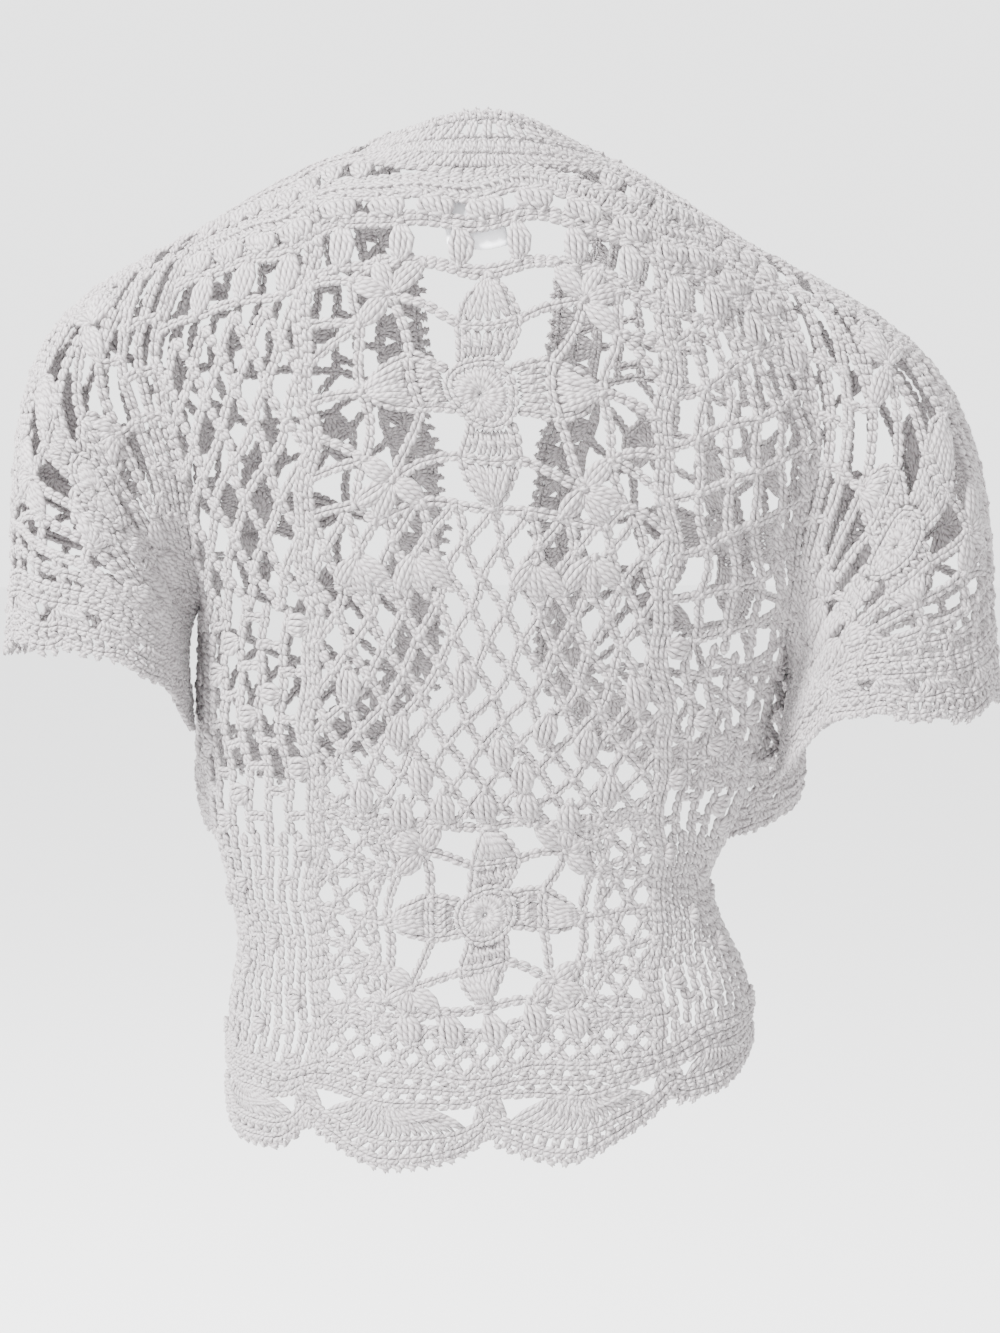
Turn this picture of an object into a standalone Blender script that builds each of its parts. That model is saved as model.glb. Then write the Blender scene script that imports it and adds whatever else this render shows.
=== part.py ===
"""Crochet lace shrug with short sleeves and an open front, in the shape it has when worn.

The part's own frame: metres, +Z up, the front faces -Y, the wearer's left is +X. The origin lies
in the middle of the neck opening, level with the side neck points. Tables are in millimetres.
"""

import math

import bmesh
import bpy
import numpy as np
from mathutils import Vector
from mathutils.geometry import delaunay_2d_cdt

# Driving sizes, in millimetres
MM = 0.001
WALL = 2.6
RELIEF = 1.1
STRAND = 4.4
SEAM_INSET = 0.25
UNDERARM_SPLIT = 0.9
ARMHOLE_INSET = 1.2
UNDERARM_INSET = 3.8
SHOULDER_INSET = 0.9
SIDE_INSET = 1.1
FOLD_CLEARANCE = 2.0
SMALLEST_GAP = 4.0
LEAST_STRETCH = 0.55

# Chart sizes: the middle strip of the back holds the medallions, the rest is side net
STRIP = 84.0
SIDE = 100.0
HALF_BACK = STRIP + SIDE
BACK_LENGTH = 468.0
BACK_HEM = 513.0
SCALLOP_PITCH = 92.0
SCALLOP_DEPTH = 24.0
NECK_HALF = 70.0
NECK_DROP = 28.0
FRONT_WIDTH = 168.0
FRONT_LENGTH = 318.0
FRONT_CORNER = 70.0
FRONT_DIP = 46.0
BORDER = 22.0
MEDALLION_REACH = 56.0
SLEEVE_HALF_TURN = 147.0
SLEEVE_LENGTH = 168.0
CUFF_LENGTH = 34.0
CUFF_SPREAD = 0.1
ARM_RADIUS = 40.0
COLLAR_HEIGHT = 26.0
HEM_RIPPLE = 4.0
LABEL_WIDTH = 30.0
LABEL_HEIGHT = 26.0
LABEL_PLACE = (8.0, 37.0)
LABEL_WALL = 0.8
LABEL_CLEARANCE = 2.15

# How many of the largest gaps are cut through each piece, 300 in all
GAPS_CUT = {"back": 140, "front": 32, "sleeve": 24}

# Centre line of the back, a row for each level down it
CENTRE_COLUMNS = ("level", "x", "y", "z")
CENTRE_ROWS = (
    (0, 0, 8, 20),
    (10, 0, 26, 16),
    (30, 0, 52, 1),
    (70, 0, 65, -39),
    (115, 0, 72, -85),
    (165, 0, 74, -135),
    (235, 0, 68, -205),
    (290, 0, 58, -259),
    (330, 0, 50, -298),
    (385, 0, 42, -352),
    (430, 0, 48, -396),
    (520, 0, 66, -484),
)

# Side lines from the shoulder tips past the armholes and underarms to the hem, where the back and the
# fronts end. Turn is how far the cloth has turned round the body there, in degrees, and fall its drop.
SIDE_COLUMNS = (
    "level", "left_x", "left_back_y", "left_front_y", "left_z",
    "right_x", "right_back_y", "right_front_y", "right_z", "turn", "fall",
)
SIDE_ROWS = (
    (0, 130, 0, 0, -17, 122, 0, 0, -27, 8, 0.6),
    (8, 131, 10, -10, -18.5, 123, 11, -11, -28.5, 10, 0.56),
    (30, 143, 25, -26, -34, 137, 28, -28, -49, 16, 0.46),
    (70, 158, 35, -38, -72, 152, 37, -40, -91, 24, 0.3),
    (115, 162, 32, -37, -110, 163, 34, -38, -134, 42, 0.18),
    (165, 157, 13, -21, -153, 160, 14, -21, -180, 68, 0.06),
    (208, 148, -2, -11, -188, 152, -1, -10, -216, 84, 0),
    (235, 143, -7, -7, -208, 147, -7, -7, -236, 88, 0),
    (290, 142, -8, -8, -259, 136, -8, -8, -277, 89, 0),
    (330, 141, -12, -12, -297, 129, -12, -12, -304, 90, 0),
    (360, 136, -13, -13, -327, 119, -13, -13, -328, 92, 0),
    (385, 130, -14, -14, -352, 111, -14, -14, -348, 92, 0),
    (410, 126, -14, -14, -377, 117, -14, -14, -368, 91, 0),
    (440, 130, -14, -14, -407, 128, -14, -14, -391, 90, 0),
    (520, 134, -14, -14, -478, 135, -14, -14, -440, 84, 0),
)

# Armholes, a row for each direction from the shoulder tip (0) to the underarm (180): the level, and
# how far the armhole cuts in from the side line, in chart widths of the back and of the fronts
HOLE_COLUMNS = ("angle", "level", "back", "front")
HOLE_ROWS = (
    (0, 0, 0, 0),
    (20, 8, 0, 0),
    (40, 30, 0, 0),
    (62, 70, 0, 0),
    (90, 115, 6, 7),
    (120, 165, 21, 20),
    (148, 208, 17, 15),
    (166, 229, 8, 8),
    (180, 235, 0, 0),
)
HOLE_STEPS = 14
UNDERARM = 235.0

# Front edge, a row for each level down the front, and the level of the seam beside it
FRONT_COLUMNS = ("down", "x", "y", "z", "left_flare", "right_flare", "level")
FRONT_ROWS = (
    (0, 68, 6, 4, 0, 0, 0),
    (10, 67, -12, 1, 0, 0, 10),
    (40, 63, -50, -30, 0, 0, 36),
    (95, 57, -88, -82, 4, 6, 85),
    (155, 52, -120, -138, 8, 12, 140),
    (215, 49, -140, -196, 14, 24, 190),
    (265, 50, -146, -246, 20, 48, 235),
    (318, 54, -142, -298, 26, 76, 290),
    (370, 60, -134, -348, 28, 84, 345),
    (420, 66, -126, -396, 28, 84, 395),
)

# Lower end of each sleeve, a row for each direction round the arm: 0 out, 90 back, 180 in, 270 front.
# Lead is how far the sleeve runs on from its armhole as it starts, and rise how far its end hangs straight.
SLEEVE_COLUMNS = ("angle", "left_x", "left_y", "left_z", "right_x", "right_y", "right_z", "lead", "rise")
SLEEVE_ROWS = (
    (0, 236, 0, -194, 251, -4, -213, 96, 131),
    (45, 223, 38, -195, 240, 36, -226, 74, 96),
    (90, 190, 54, -199, 206, 54, -230, 46, 52),
    (135, 163, 42, -219, 174, 44, -236, 26, 24),
    (180, 152, -3, -250, 149, -2, -274, 12, 11),
    (225, 163, -38, -226, 174, -40, -250, 28, 25),
    (270, 188, -53, -203, 204, -57, -234, 46, 52),
    (315, 222, -40, -196, 239, -44, -226, 74, 96),
    (360, 236, 0, -194, 251, -4, -213, 96, 131),
)

# How the cross curves between the tables' rows are drawn: how far they run on in the way they start
# and arrive, as parts of their reach, and the places at which they are sampled
BACK_FULLNESS = 0.52
FRONT_FULLNESS = 0.42
SIDE_BEND = 0.32
SAMPLES = np.linspace(0, 1, 33)[None, :, None]

# The front's border and neck band lean in towards the neck, down to this level of the front
NECK_LEAN = np.array((-0.86, 0.0, 0.42))
LEAN_END = 80.0
# Down to this level a front is drawn up to the shoulder seam, and its border keeps clear of the seam
SEAM_PULL = 70.0
FOLD_END = 90.0
# The back starts to ripple with its scallops here
RIPPLE_START = 430.0

WHITE_COTTON = (0.80, 0.78, 0.77, 1.0)
WHITE_SATIN = (0.86, 0.86, 0.88, 1.0)
QUADRANTS = ((1, 1), (-1, 1), (-1, -1), (1, -1))


def column(rows, names, name, at):
    """The named column of a table, read at any levels by a smooth curve through its rows."""
    levels = np.array([row[0] for row in rows], float)
    values = np.array([row[names.index(name)] for row in rows], float)
    slopes = np.gradient(values, levels)
    at = np.clip(np.asarray(at, float), levels[0], levels[-1])
    row = np.clip(np.searchsorted(levels, at, side="right") - 1, 0, len(levels) - 2)
    span = levels[row + 1] - levels[row]
    part = (at - levels[row]) / span
    start = (1 + 2 * part) * (1 - part) ** 2 * values[row] + part * (1 - part) ** 2 * span * slopes[row]
    end = part**2 * (3 - 2 * part) * values[row + 1] + part**2 * (part - 1) * span * slopes[row + 1]
    return start + end


def columns(rows, names, wanted, at):
    """Several named columns side by side, as points."""
    return np.stack([column(rows, names, name, at) for name in wanted], axis=-1)


def bezier(start, lead, tail, end, part):
    """Points of cubic curves at the given part of their run."""
    rest = 1 - part
    return rest**3 * start + 3 * rest**2 * part * lead + 3 * rest * part**2 * tail + part**3 * end


def along(curves, share):
    """The point of each sampled curve at the given share of its length."""
    steps = np.linalg.norm(np.diff(curves, axis=1), axis=2)
    run = np.concatenate([np.zeros((len(curves), 1)), np.cumsum(steps, axis=1)], axis=1)
    length = run[:, -1]
    goal = np.clip(share, 0, 1) * length
    step = np.clip((run < goal[:, None]).sum(axis=1) - 1, 0, steps.shape[1] - 1)
    pick = np.arange(len(curves))
    part = (goal - run[pick, step]) / steps[pick, step]
    return curves[pick, step] + (curves[pick, step + 1] - curves[pick, step]) * part[:, None]


def curve_lengths(curves):
    """Length of each sampled curve."""
    return np.linalg.norm(np.diff(curves, axis=1), axis=2).sum(axis=1)


def normals(surface, across, down, step=0.5):
    """Unit directions square to a surface at its chart places."""
    run_across = surface(across + step, down) - surface(across - step, down)
    run_down = surface(across, down + step) - surface(across, down - step)
    normal = np.cross(run_across, run_down)
    return normal / np.linalg.norm(normal, axis=1)[:, None]


def side_line(level, side, face):
    """Points down a side line, and the way in which the cloth arrives there."""
    wanted = (side + "_x", f"{side}_{face}_y", side + "_z", "turn", "fall")
    found = columns(SIDE_ROWS, SIDE_COLUMNS, wanted, level)
    turn = np.radians(found[:, 3])
    sideways = -np.sin(turn) if face == "back" else np.sin(turn)
    return found[:, :3], np.stack([np.cos(turn), sideways, -found[:, 4]], axis=1)


def back_half(down, side):
    """Sampled cross curves from the centre line of the back to one edge, at the given levels."""
    centre = columns(CENTRE_ROWS, CENTRE_COLUMNS, ("x", "y", "z"), down)
    edge, arrival = side_line(down, side, "back")
    reach = np.linalg.norm(edge - centre, axis=1)
    lead = centre.copy()
    lead[:, 0] = BACK_FULLNESS * edge[:, 0]
    tail = edge - SIDE_BEND * reach[:, None] * arrival
    curve = bezier(centre[:, None], lead[:, None], tail[:, None], edge[:, None], SAMPLES)
    if side == "right":
        curve[:, :, 0] *= -1
    return curve


def back_surface(across, down):
    """Points of the back. The strip keeps its width, and the side net takes up the rest."""
    points = np.zeros((len(across), 3))
    for side, chosen in (("left", across >= 0), ("right", across < 0)):
        if not chosen.any():
            continue
        curves = back_half(down[chosen], side)
        length = curve_lengths(curves)
        place = np.abs(across[chosen])
        strip = STRIP / length
        share = np.where(place < STRIP, place / length, strip + (1 - strip) * (place - STRIP) / SIDE)
        points[chosen] = along(curves, share)
    depth = np.clip((down - RIPPLE_START) / (BACK_HEM - RIPPLE_START), 0, 1.2) ** 2
    wave = np.cos(2 * math.pi * across / SCALLOP_PITCH) * np.cos(0.5 * math.pi * across / HALF_BACK)
    points[:, 1] -= HEM_RIPPLE * depth * wave
    return points


def front_surface(side):
    """Points of one front: across runs from its front edge to the armhole and side seam."""

    def section(down):
        edge = columns(FRONT_ROWS, FRONT_COLUMNS, ("x", "y", "z"), down)
        level = column(FRONT_ROWS, FRONT_COLUMNS, "level", down)
        rim, arrival = side_line(level, side, "front")
        flare = column(FRONT_ROWS, FRONT_COLUMNS, side + "_flare", down)
        reach = np.linalg.norm(rim - edge, axis=1)
        lead = edge.copy()
        lead[:, 0] += FRONT_FULLNESS * reach
        lead[:, 1] -= 0.02 * reach
        lead[:, 2] += 0.2 * (rim[:, 2] - edge[:, 2])
        tail = rim - SIDE_BEND * reach[:, None] * arrival
        tail[:, 0] += flare
        return bezier(edge[:, None], lead[:, None], tail[:, None], rim[:, None], SAMPLES)

    def surface(across, down):
        curve = section(down)
        share = across / FRONT_WIDTH
        points = along(curve, share)
        inward = curve[:, 0] - curve[:, 1]
        inward /= np.linalg.norm(inward, axis=1)[:, None]
        rise = np.clip(1 - down / LEAN_END, 0, 1)[:, None] ** 0.7
        inward = (1 - rise) * inward + rise * NECK_LEAN
        points += np.maximum(-across, 0)[:, None] * inward
        shoulder = NECK_HALF + (HALF_BACK - NECK_HALF) * np.clip(share, 0, 1)
        sign = 1 if side == "left" else -1
        line = back_surface(sign * shoulder, np.zeros_like(shoulder))
        line[:, 0] *= sign
        top = along(section(np.zeros_like(down)), share)
        points += (line - top) * np.clip(1 - down / SEAM_PULL, 0, 1)[:, None] ** 2
        points[:, 0] *= sign
        return points

    return surface


def armhole_chart(angle, face):
    """Cut and level of the armhole in the direction of an angle from the shoulder tip."""
    return column(HOLE_ROWS, HOLE_COLUMNS, face, angle), column(HOLE_ROWS, HOLE_COLUMNS, "level", angle)


def armhole(angle, side):
    """Points of the armhole seam, from the shoulder over the back to the underarm and up the front."""
    sign = 1 if side == "left" else -1
    turn = np.where(angle <= 180, angle, 360 - angle)
    cut, level = armhole_chart(turn, "back")
    behind = back_surface(sign * (HALF_BACK - cut), level)
    cut, level = armhole_chart(turn, "front")
    before = front_surface(side)(FRONT_WIDTH - cut, front_down(level))
    points = np.where((angle <= 180)[:, None], behind, before)
    points[:, 0] *= sign
    return points


def front_down(level):
    """How far down the front's chart a level of the side line lies."""
    downs = np.linspace(FRONT_ROWS[0][0], FRONT_ROWS[-1][0], 800)
    return np.interp(level, column(FRONT_ROWS, FRONT_COLUMNS, "level", downs), downs)


def wrapped(rows):
    """A table of directions round a ring, with a row more before its start and after its end."""
    before = (rows[-2][0] - 360, *rows[-2][1:])
    after = (rows[1][0] + 360, *rows[1][1:])
    return (before, *rows, after)


def sleeve_surface(side):
    """Points of one sleeve: across runs round the arm from the shoulder line, down towards the cuff."""

    def surface(across, down):
        angle = (across / SLEEVE_HALF_TURN * 180) % 360
        top = armhole(angle, side)
        names = (side + "_x", side + "_y", side + "_z")
        low = columns(wrapped(SLEEVE_ROWS), SLEEVE_COLUMNS, names, angle)
        lead, rise = columns(wrapped(SLEEVE_ROWS), SLEEVE_COLUMNS, ("lead", "rise"), angle).T[:, :, None]
        round_arm = np.radians(angle)
        out = np.stack(
            [
                np.full_like(angle, 0.9),
                0.15 * np.sin(round_arm),
                -0.38 - 0.22 * np.sin(round_arm) ** 2 - 0.09 * np.cos(round_arm),
            ],
            axis=1,
        )
        fall = np.stack([np.zeros_like(angle), np.zeros_like(angle), np.full_like(angle, -1.0)], axis=1)
        start = top + lead * out
        end = low - rise * fall
        curve = bezier(top[:, None], start[:, None], end[:, None], low[:, None], SAMPLES)
        share = down / SLEEVE_LENGTH
        points = along(curve, share)
        beyond = np.maximum(share - 1, 0) * SLEEVE_LENGTH * (0.8 + 0.2 * np.cos(round_arm))
        middle = columns(SLEEVE_ROWS, SLEEVE_COLUMNS, names, np.zeros_like(angle))
        middle[:, 0] -= ARM_RADIUS
        spread = low - middle
        spread[:, 2] = 0
        spread /= np.linalg.norm(spread, axis=1)[:, None]
        points += beyond[:, None] * (fall + CUFF_SPREAD * spread)
        if side == "right":
            points[:, 0] *= -1
        return points

    return surface


def collar_surface(across, up):
    """Points of the standing neck band, from the left side neck point round the back to the right."""
    edge = neck_edge(across)
    share = np.clip(np.abs(across) / NECK_HALF, 0, 1)[:, None]
    upright = np.array((0.0, -0.1, 0.95))
    outward = np.sign(across)[:, None] * np.array((NECK_LEAN[0], 0, 0))
    lean = (1 - share**2) * upright + share**2 * np.array((0, 0, NECK_LEAN[2])) + share * outward
    return edge + up[:, None] * lean


def neck_edge(across):
    """The back neck seam at places across it."""
    inside = np.clip(across, -NECK_HALF, NECK_HALF)
    return back_surface(inside, neck_drop(inside))


def neck_drop(across):
    """How far down the chart the back neck seam lies."""
    return NECK_DROP * np.sqrt(np.clip(1 - (across / NECK_HALF) ** 2, 0, 1))


def label_surface(across, down):
    """Points of the label that hangs inside the back neck."""
    place = (across + LABEL_PLACE[0], down + LABEL_PLACE[1])
    clear = WALL / 2 + LABEL_WALL / 2 + LABEL_CLEARANCE
    return back_surface(*place) - clear * normals(back_surface, *place)


def add_medallion(lines, solids, leaves, centre, reach, half):
    """Chart of one square medallion: disc, four petal arms, four leaf fans and chains to its border.

    The inner numbers are those of a medallion whose arms reach MEDALLION_REACH from its centre.
    """
    across, down = centre
    scale = (reach[0] / MEDALLION_REACH, reach[1] / MEDALLION_REACH)
    for side, fall in QUADRANTS:

        def inner(x, t):
            return (across + side * x * scale[0], down + fall * t * scale[1])

        def border(x, t):
            return (across + side * x * half[0], down + fall * t * half[1])

        fan = inner(44, 45)
        tips = [inner(64, 37), inner(64, 55), inner(55, 65), inner(37, 65)]
        lines.append([inner(10, 13), inner(13, 34), inner(0, 56)])
        lines.append([inner(13, 10), inner(34, 13), inner(56, 0)])
        lines.append([inner(10, 13), inner(13, 10)])
        lines.append([inner(13, 34), fan, inner(34, 13)])
        lines.append([inner(56, 0), *tips, inner(0, 56)])
        leaves.extend([fan, tip] for tip in tips)
        lines.append([tips[0], border(1, 0.25)])
        lines.append([tips[0], border(1, 0.5)])
        lines.append([tips[1], border(1, 0.75)])
        lines.append([tips[2], border(0.75, 1)])
        lines.append([tips[3], border(0.5, 1)])
        lines.append([tips[3], border(0.25, 1)])
        lines.append([inner(59.5, 60), border(1, 1)])
        lines.append([inner(56, 0), border(1, 0)])
        lines.append([inner(0, 56), border(0, 1)])
        lines.append([border(1, 0), border(1, 1), border(0, 1)])
        solids.append(inner(0, 35))
        solids.append(inner(35, 0))
    solids.append(centre)


def add_diamonds(lines, left, right, top, low, count, rows):
    """Chart of a net of upright diamonds: waving chains that meet their neighbours."""
    pitch = (right - left) / count
    for number in range(count + 1):
        middle = left + number * pitch
        for bend in (-0.5, 0.5):
            chain = []
            for row in range(rows + 1):
                place = middle + bend * pitch * (row % 2)
                chain.append((min(max(place, left), right), top + (low - top) * row / rows))
            lines.append(chain)


def add_grid(lines, acrosses, downs, slope=0.0):
    """Chart of a plain or slanted net of four-sided gaps."""

    def place(x, t):
        return (x, t + slope * (x - acrosses[0]))

    for x in acrosses:
        lines.append([place(x, t) for t in downs])
    for t in downs:
        lines.append([place(x, t) for x in acrosses])


def back_chart():
    """Yarn lines of the back: two medallions with diamond net between, and side nets."""
    lines, solids, leaves = [], [], []
    add_medallion(lines, solids, leaves, (0, 127), (58, 54), (STRIP, STRIP))
    add_diamonds(lines, -STRIP, STRIP, 211, 324, 8, 6)
    add_medallion(lines, solids, leaves, (0, 396), (46, 46), (STRIP, 72))
    add_grid(lines, np.linspace(-STRIP, STRIP, 9), (0, 14, 28, 43))
    for side in (-1, 1):
        edges = side * np.linspace(STRIP, HALF_BACK, 7)
        add_grid(lines, edges, np.linspace(20, 210, 9), slope=0.12 * side)
        add_grid(lines, edges, np.linspace(234, 356, 6), slope=0.08 * side)
        add_grid(lines, side * np.linspace(STRIP, HALF_BACK, 10), (378, 404, 430, 450, 468))
    return lines, solids, leaves


def front_chart():
    """Yarn lines of a front: a medallion over the bust, with net above and below it."""
    lines, solids, leaves = [], [], []
    add_medallion(lines, solids, leaves, (84, 190), (54, 54), (STRIP, STRIP))
    add_grid(lines, np.linspace(0, FRONT_WIDTH, 9), np.linspace(0, 106, 6))
    add_diamonds(lines, 0, FRONT_WIDTH, 274, 366, 8, 5)
    return lines, solids, leaves


def sleeve_chart():
    """Yarn lines of half a sleeve: a medallion with a row of net above and below."""
    lines, solids, leaves = [], [], []
    middle = SLEEVE_HALF_TURN / 2
    add_medallion(lines, solids, leaves, (middle, 88), (48, 44), (middle, 62))
    add_grid(lines, np.linspace(0, SLEEVE_HALF_TURN, 9), (0, 13, 26))
    add_grid(lines, np.linspace(0, SLEEVE_HALF_TURN, 9), (150, 168))
    return lines, solids, leaves


def inside(point, outline):
    """Whether a chart point lies in a closed outline."""
    hit = False
    x, t = point
    for (ax, at), (bx, bt) in zip(outline, outline[1:] + outline[:1]):
        if (at > t) != (bt > t) and x < ax + (t - at) * (bx - ax) / (bt - at):
            hit = not hit
    return hit


def area(outline):
    """Signed area of a closed outline."""
    return 0.5 * sum(ax * bt - bx * at for (ax, at), (bx, bt) in zip(outline, outline[1:] + outline[:1]))


def shrunk(outline, by, least_turn=0.15, least_run=0.8):
    """A closed outline moved inwards, or None where nothing is left of it."""
    count = len(outline)
    lines = []
    for number in range(count):
        start = Vector(outline[number])
        run = (Vector(outline[(number + 1) % count]) - start).normalized()
        lines.append((start + by * Vector((-run.y, run.x)), run))
    moved = []
    for number in range(count):
        (start, run), (other, turn) = lines[number - 1], lines[number]
        cross = run.x * turn.y - run.y * turn.x
        if abs(cross) < least_turn:
            moved.append(tuple(other))
            continue
        step = ((other - start).x * turn.y - (other - start).y * turn.x) / cross
        moved.append(tuple(start + step * run))
    runs_kept = all(
        (Vector(moved[(number + 1) % count]) - Vector(moved[number])).dot(lines[number][1]) > least_run
        for number in range(count)
    )
    return moved if runs_kept else None


def simple_corners(outline, closest=4.0, straight=0.985):
    """A closed outline without corners that crowd each other or lie on a straight run."""
    kept = []
    for point in outline:
        if not kept or (Vector(point) - Vector(kept[-1])).length > closest:
            kept.append(point)
    while len(kept) > 3 and (Vector(kept[0]) - Vector(kept[-1])).length < closest:
        kept.pop()
    corners = []
    for number, point in enumerate(kept):
        before = (Vector(point) - Vector(kept[number - 1])).normalized()
        after = (Vector(kept[(number + 1) % len(kept)]) - Vector(point)).normalized()
        if before.dot(after) < straight:
            corners.append(point)
    return corners


def gaps_of(lines, solids, outline, surface, limit):
    """The largest gaps between the yarn lines, as closed outlines set in from the yarn."""
    points, edges = [], []
    for line in [*lines, [*outline, outline[0]]]:
        first = len(points)
        points.extend(Vector(point) for point in line)
        edges.extend((number, number + 1) for number in range(first, len(points) - 1))
    corners, _, faces, *_ = delaunay_2d_cdt(points, edges, [], 3, 0.01)
    gaps = []
    for face in faces:
        loop = [tuple(corners[number]) for number in face]
        if area(loop) < 0:
            loop.reverse()
        middle = np.mean(loop, axis=0)
        if not inside(middle, outline) or any(inside(spot, loop) for spot in solids):
            continue
        loop = simple_corners(loop)
        gap = shrunk(loop, STRAND / 2) if len(loop) > 2 else None
        stretch = local_stretch(surface, middle)
        if gap and min(stretch) > LEAST_STRETCH:
            size = area(gap) * stretch[0] * stretch[1]
            if size > SMALLEST_GAP**2:
                gaps.append((size, gap))
    gaps.sort(key=lambda pair: pair[0], reverse=True)
    return [gap for _, gap in gaps[:limit]]


def local_stretch(surface, spot):
    """How much longer the cloth is than its chart at one spot, across and down."""
    across = np.array([spot[0] - 1, spot[0] + 1, spot[0], spot[0]])
    down = np.array([spot[1], spot[1], spot[1] - 1, spot[1] + 1])
    points = surface(across, down)
    return np.linalg.norm(points[1] - points[0]) / 2, np.linalg.norm(points[3] - points[2]) / 2


def filled(outline, gaps, raised, spacing, clearance=3.0):
    """Triangles of an outline with its gaps left out, and the height of each chart point.

    Points are spread over it at the spacing, and those in the clearance of an edge are left out.
    """
    points, edges = [], []
    for loop in [outline, *gaps]:
        first = len(points)
        points.extend(Vector(point) for point in loop)
        edges.extend((first + number, first + (number + 1) % len(loop)) for number in range(len(loop)))
    edge_count = len(points)
    free = [spot for spot in raised if inside(spot, outline)]
    lows = np.min(outline, axis=0)
    highs = np.max(outline, axis=0)
    for x in np.arange(lows[0] + spacing / 2, highs[0], spacing):
        for t in np.arange(lows[1] + spacing / 2, highs[1], spacing):
            free.append((x, t))
    rims = np.array([tuple(point) for point in points])
    for spot in free:
        clear = np.min(np.hypot(*(rims - np.array(spot)).T)) > clearance
        if clear and inside(spot, outline) and not any(inside(spot, gap) for gap in gaps):
            points.append(Vector(spot))
    corners, _, faces, origins, *_ = delaunay_2d_cdt(points, edges, [], 1, 0.001)
    centres = [sum((corners[number] for number in face), Vector((0, 0))) / len(face) for face in faces]
    faces = [face for face, spot in zip(faces, centres) if not any(inside(spot, gap) for gap in gaps)]
    used = sorted({number for face in faces for number in face})
    renumber = {old: new for new, old in enumerate(used)}
    heights = []
    for old in used:
        first = min(origins[old], default=0)
        spot = tuple(corners[old])
        is_raised = first >= edge_count and any(math.dist(spot, top) < 0.01 for top in raised)
        heights.append(RELIEF if is_raised else 0.0)
    chart = np.array([tuple(corners[old]) for old in used])
    return chart, [[renumber[number] for number in face] for face in faces], np.array(heights)


def walled(name, material, surface, outline, gaps=(), raised=(), spacing=26.0, wall=WALL, turned=False):
    """A closed wall on a surface, cut through at its gaps and raised at its thick stitches."""
    if area(outline) < 0:
        outline = outline[::-1]
    chart, faces, heights = filled(outline, gaps, raised, spacing)
    across, down = chart[:, 0], chart[:, 1]
    normal = normals(surface, across, down)
    if turned:
        normal *= -1
    middle = surface(across, down)
    outer = middle + normal * (wall / 2 + heights)[:, None]
    inner = middle - normal * wall / 2
    mesh = bmesh.new()
    rings = [[mesh.verts.new(Vector(point) * MM) for point in points] for points in (outer, inner)]
    sides = {}
    for face in faces:
        for start, end in zip(face, face[1:] + face[:1]):
            sides[(start, end)] = sides.get((start, end), 0) + 1
    for face in faces:
        loop = face[::-1] if turned else face
        mesh.faces.new([rings[0][number] for number in loop])
        mesh.faces.new([rings[1][number] for number in loop[::-1]])
    for start, end in list(sides):
        if (end, start) in sides:
            continue
        rim = [rings[0][start], rings[1][start], rings[1][end], rings[0][end]]
        mesh.faces.new(rim[::-1] if turned else rim)
    bmesh.ops.triangulate(mesh, faces=mesh.faces[:])
    data = bpy.data.meshes.new(name)
    mesh.to_mesh(data)
    mesh.free()
    data.materials.append(material)
    data.shade_smooth()
    data.set_sharp_from_angle(angle=math.radians(35))
    piece = bpy.data.objects.new(name, data)
    bpy.context.scene.collection.objects.link(piece)
    return piece


def cloth(name, colour, roughness):
    """A plain material for one piece."""
    material = bpy.data.materials.new(name)
    material.use_nodes = True
    shader = material.node_tree.nodes["Principled BSDF"]
    shader.inputs["Base Color"].default_value = colour
    shader.inputs["Roughness"].default_value = roughness
    shader.inputs["Metallic"].default_value = 0.0
    return material


def run(start, end, count):
    """Points along a straight chart line, without its last."""
    steps = np.arange(count) / count
    return [(start[0] + (end[0] - start[0]) * step, start[1] + (end[1] - start[1]) * step) for step in steps]


def armhole_angles():
    """Directions round an armhole where its points lie, the same on both sides of the seam."""
    return np.linspace(0, 180, HOLE_STEPS + 1)


def shoulder_places(steps=6):
    """Places along the shoulder seam on the back, from the neck out."""
    return [NECK_HALF + (HALF_BACK - NECK_HALF) * step / steps for step in range(steps + 1)]


def shoulder_point(place, surface):
    """Where a panel starts below the shoulder seam."""
    return (place, min(SHOULDER_INSET / local_stretch(surface, (place, 3.0))[1], 1.5))


def back_outline():
    """The back in its chart: neck, shoulders, armholes, side seams and the line of the hem."""
    turns = np.linspace(0, math.pi, 15)[1:-1]
    neck = [(NECK_HALF * math.cos(turn), NECK_DROP * math.sin(turn) + SEAM_INSET) for turn in turns]
    side = HALF_BACK - ARMHOLE_INSET
    shoulder = [shoulder_point(min(place, side), back_surface) for place in shoulder_places()]
    edge = [(side - cut, level) for cut, level in zip(*armhole_chart(armhole_angles()[1:], "back"))]
    edge += run((side, UNDERARM), (side, BACK_LENGTH), 12)[1:]
    half = [*shoulder, *edge]
    mirrored = [(-x, t) for x, t in half]
    low = [*run((-side, BACK_LENGTH), (side, BACK_LENGTH), 26), (side, BACK_LENGTH)]
    return [*neck, *mirrored, *low, *half[::-1]]


def hem_outline():
    """The scalloped edging below the back."""
    top = BACK_LENGTH + 2 * SEAM_INSET
    side = HALF_BACK - ARMHOLE_INSET
    scallops = []
    for x in np.linspace(side, -side, 49):
        wave = abs(math.sin(math.pi * x / SCALLOP_PITCH)) ** 0.7
        scallops.append((x, BACK_HEM - SCALLOP_DEPTH * (1 - wave)))
    return [*run((-side, top), (side, top), 26), (side, top), *scallops[1:-1], (-side, scallops[-1][1])]


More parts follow.
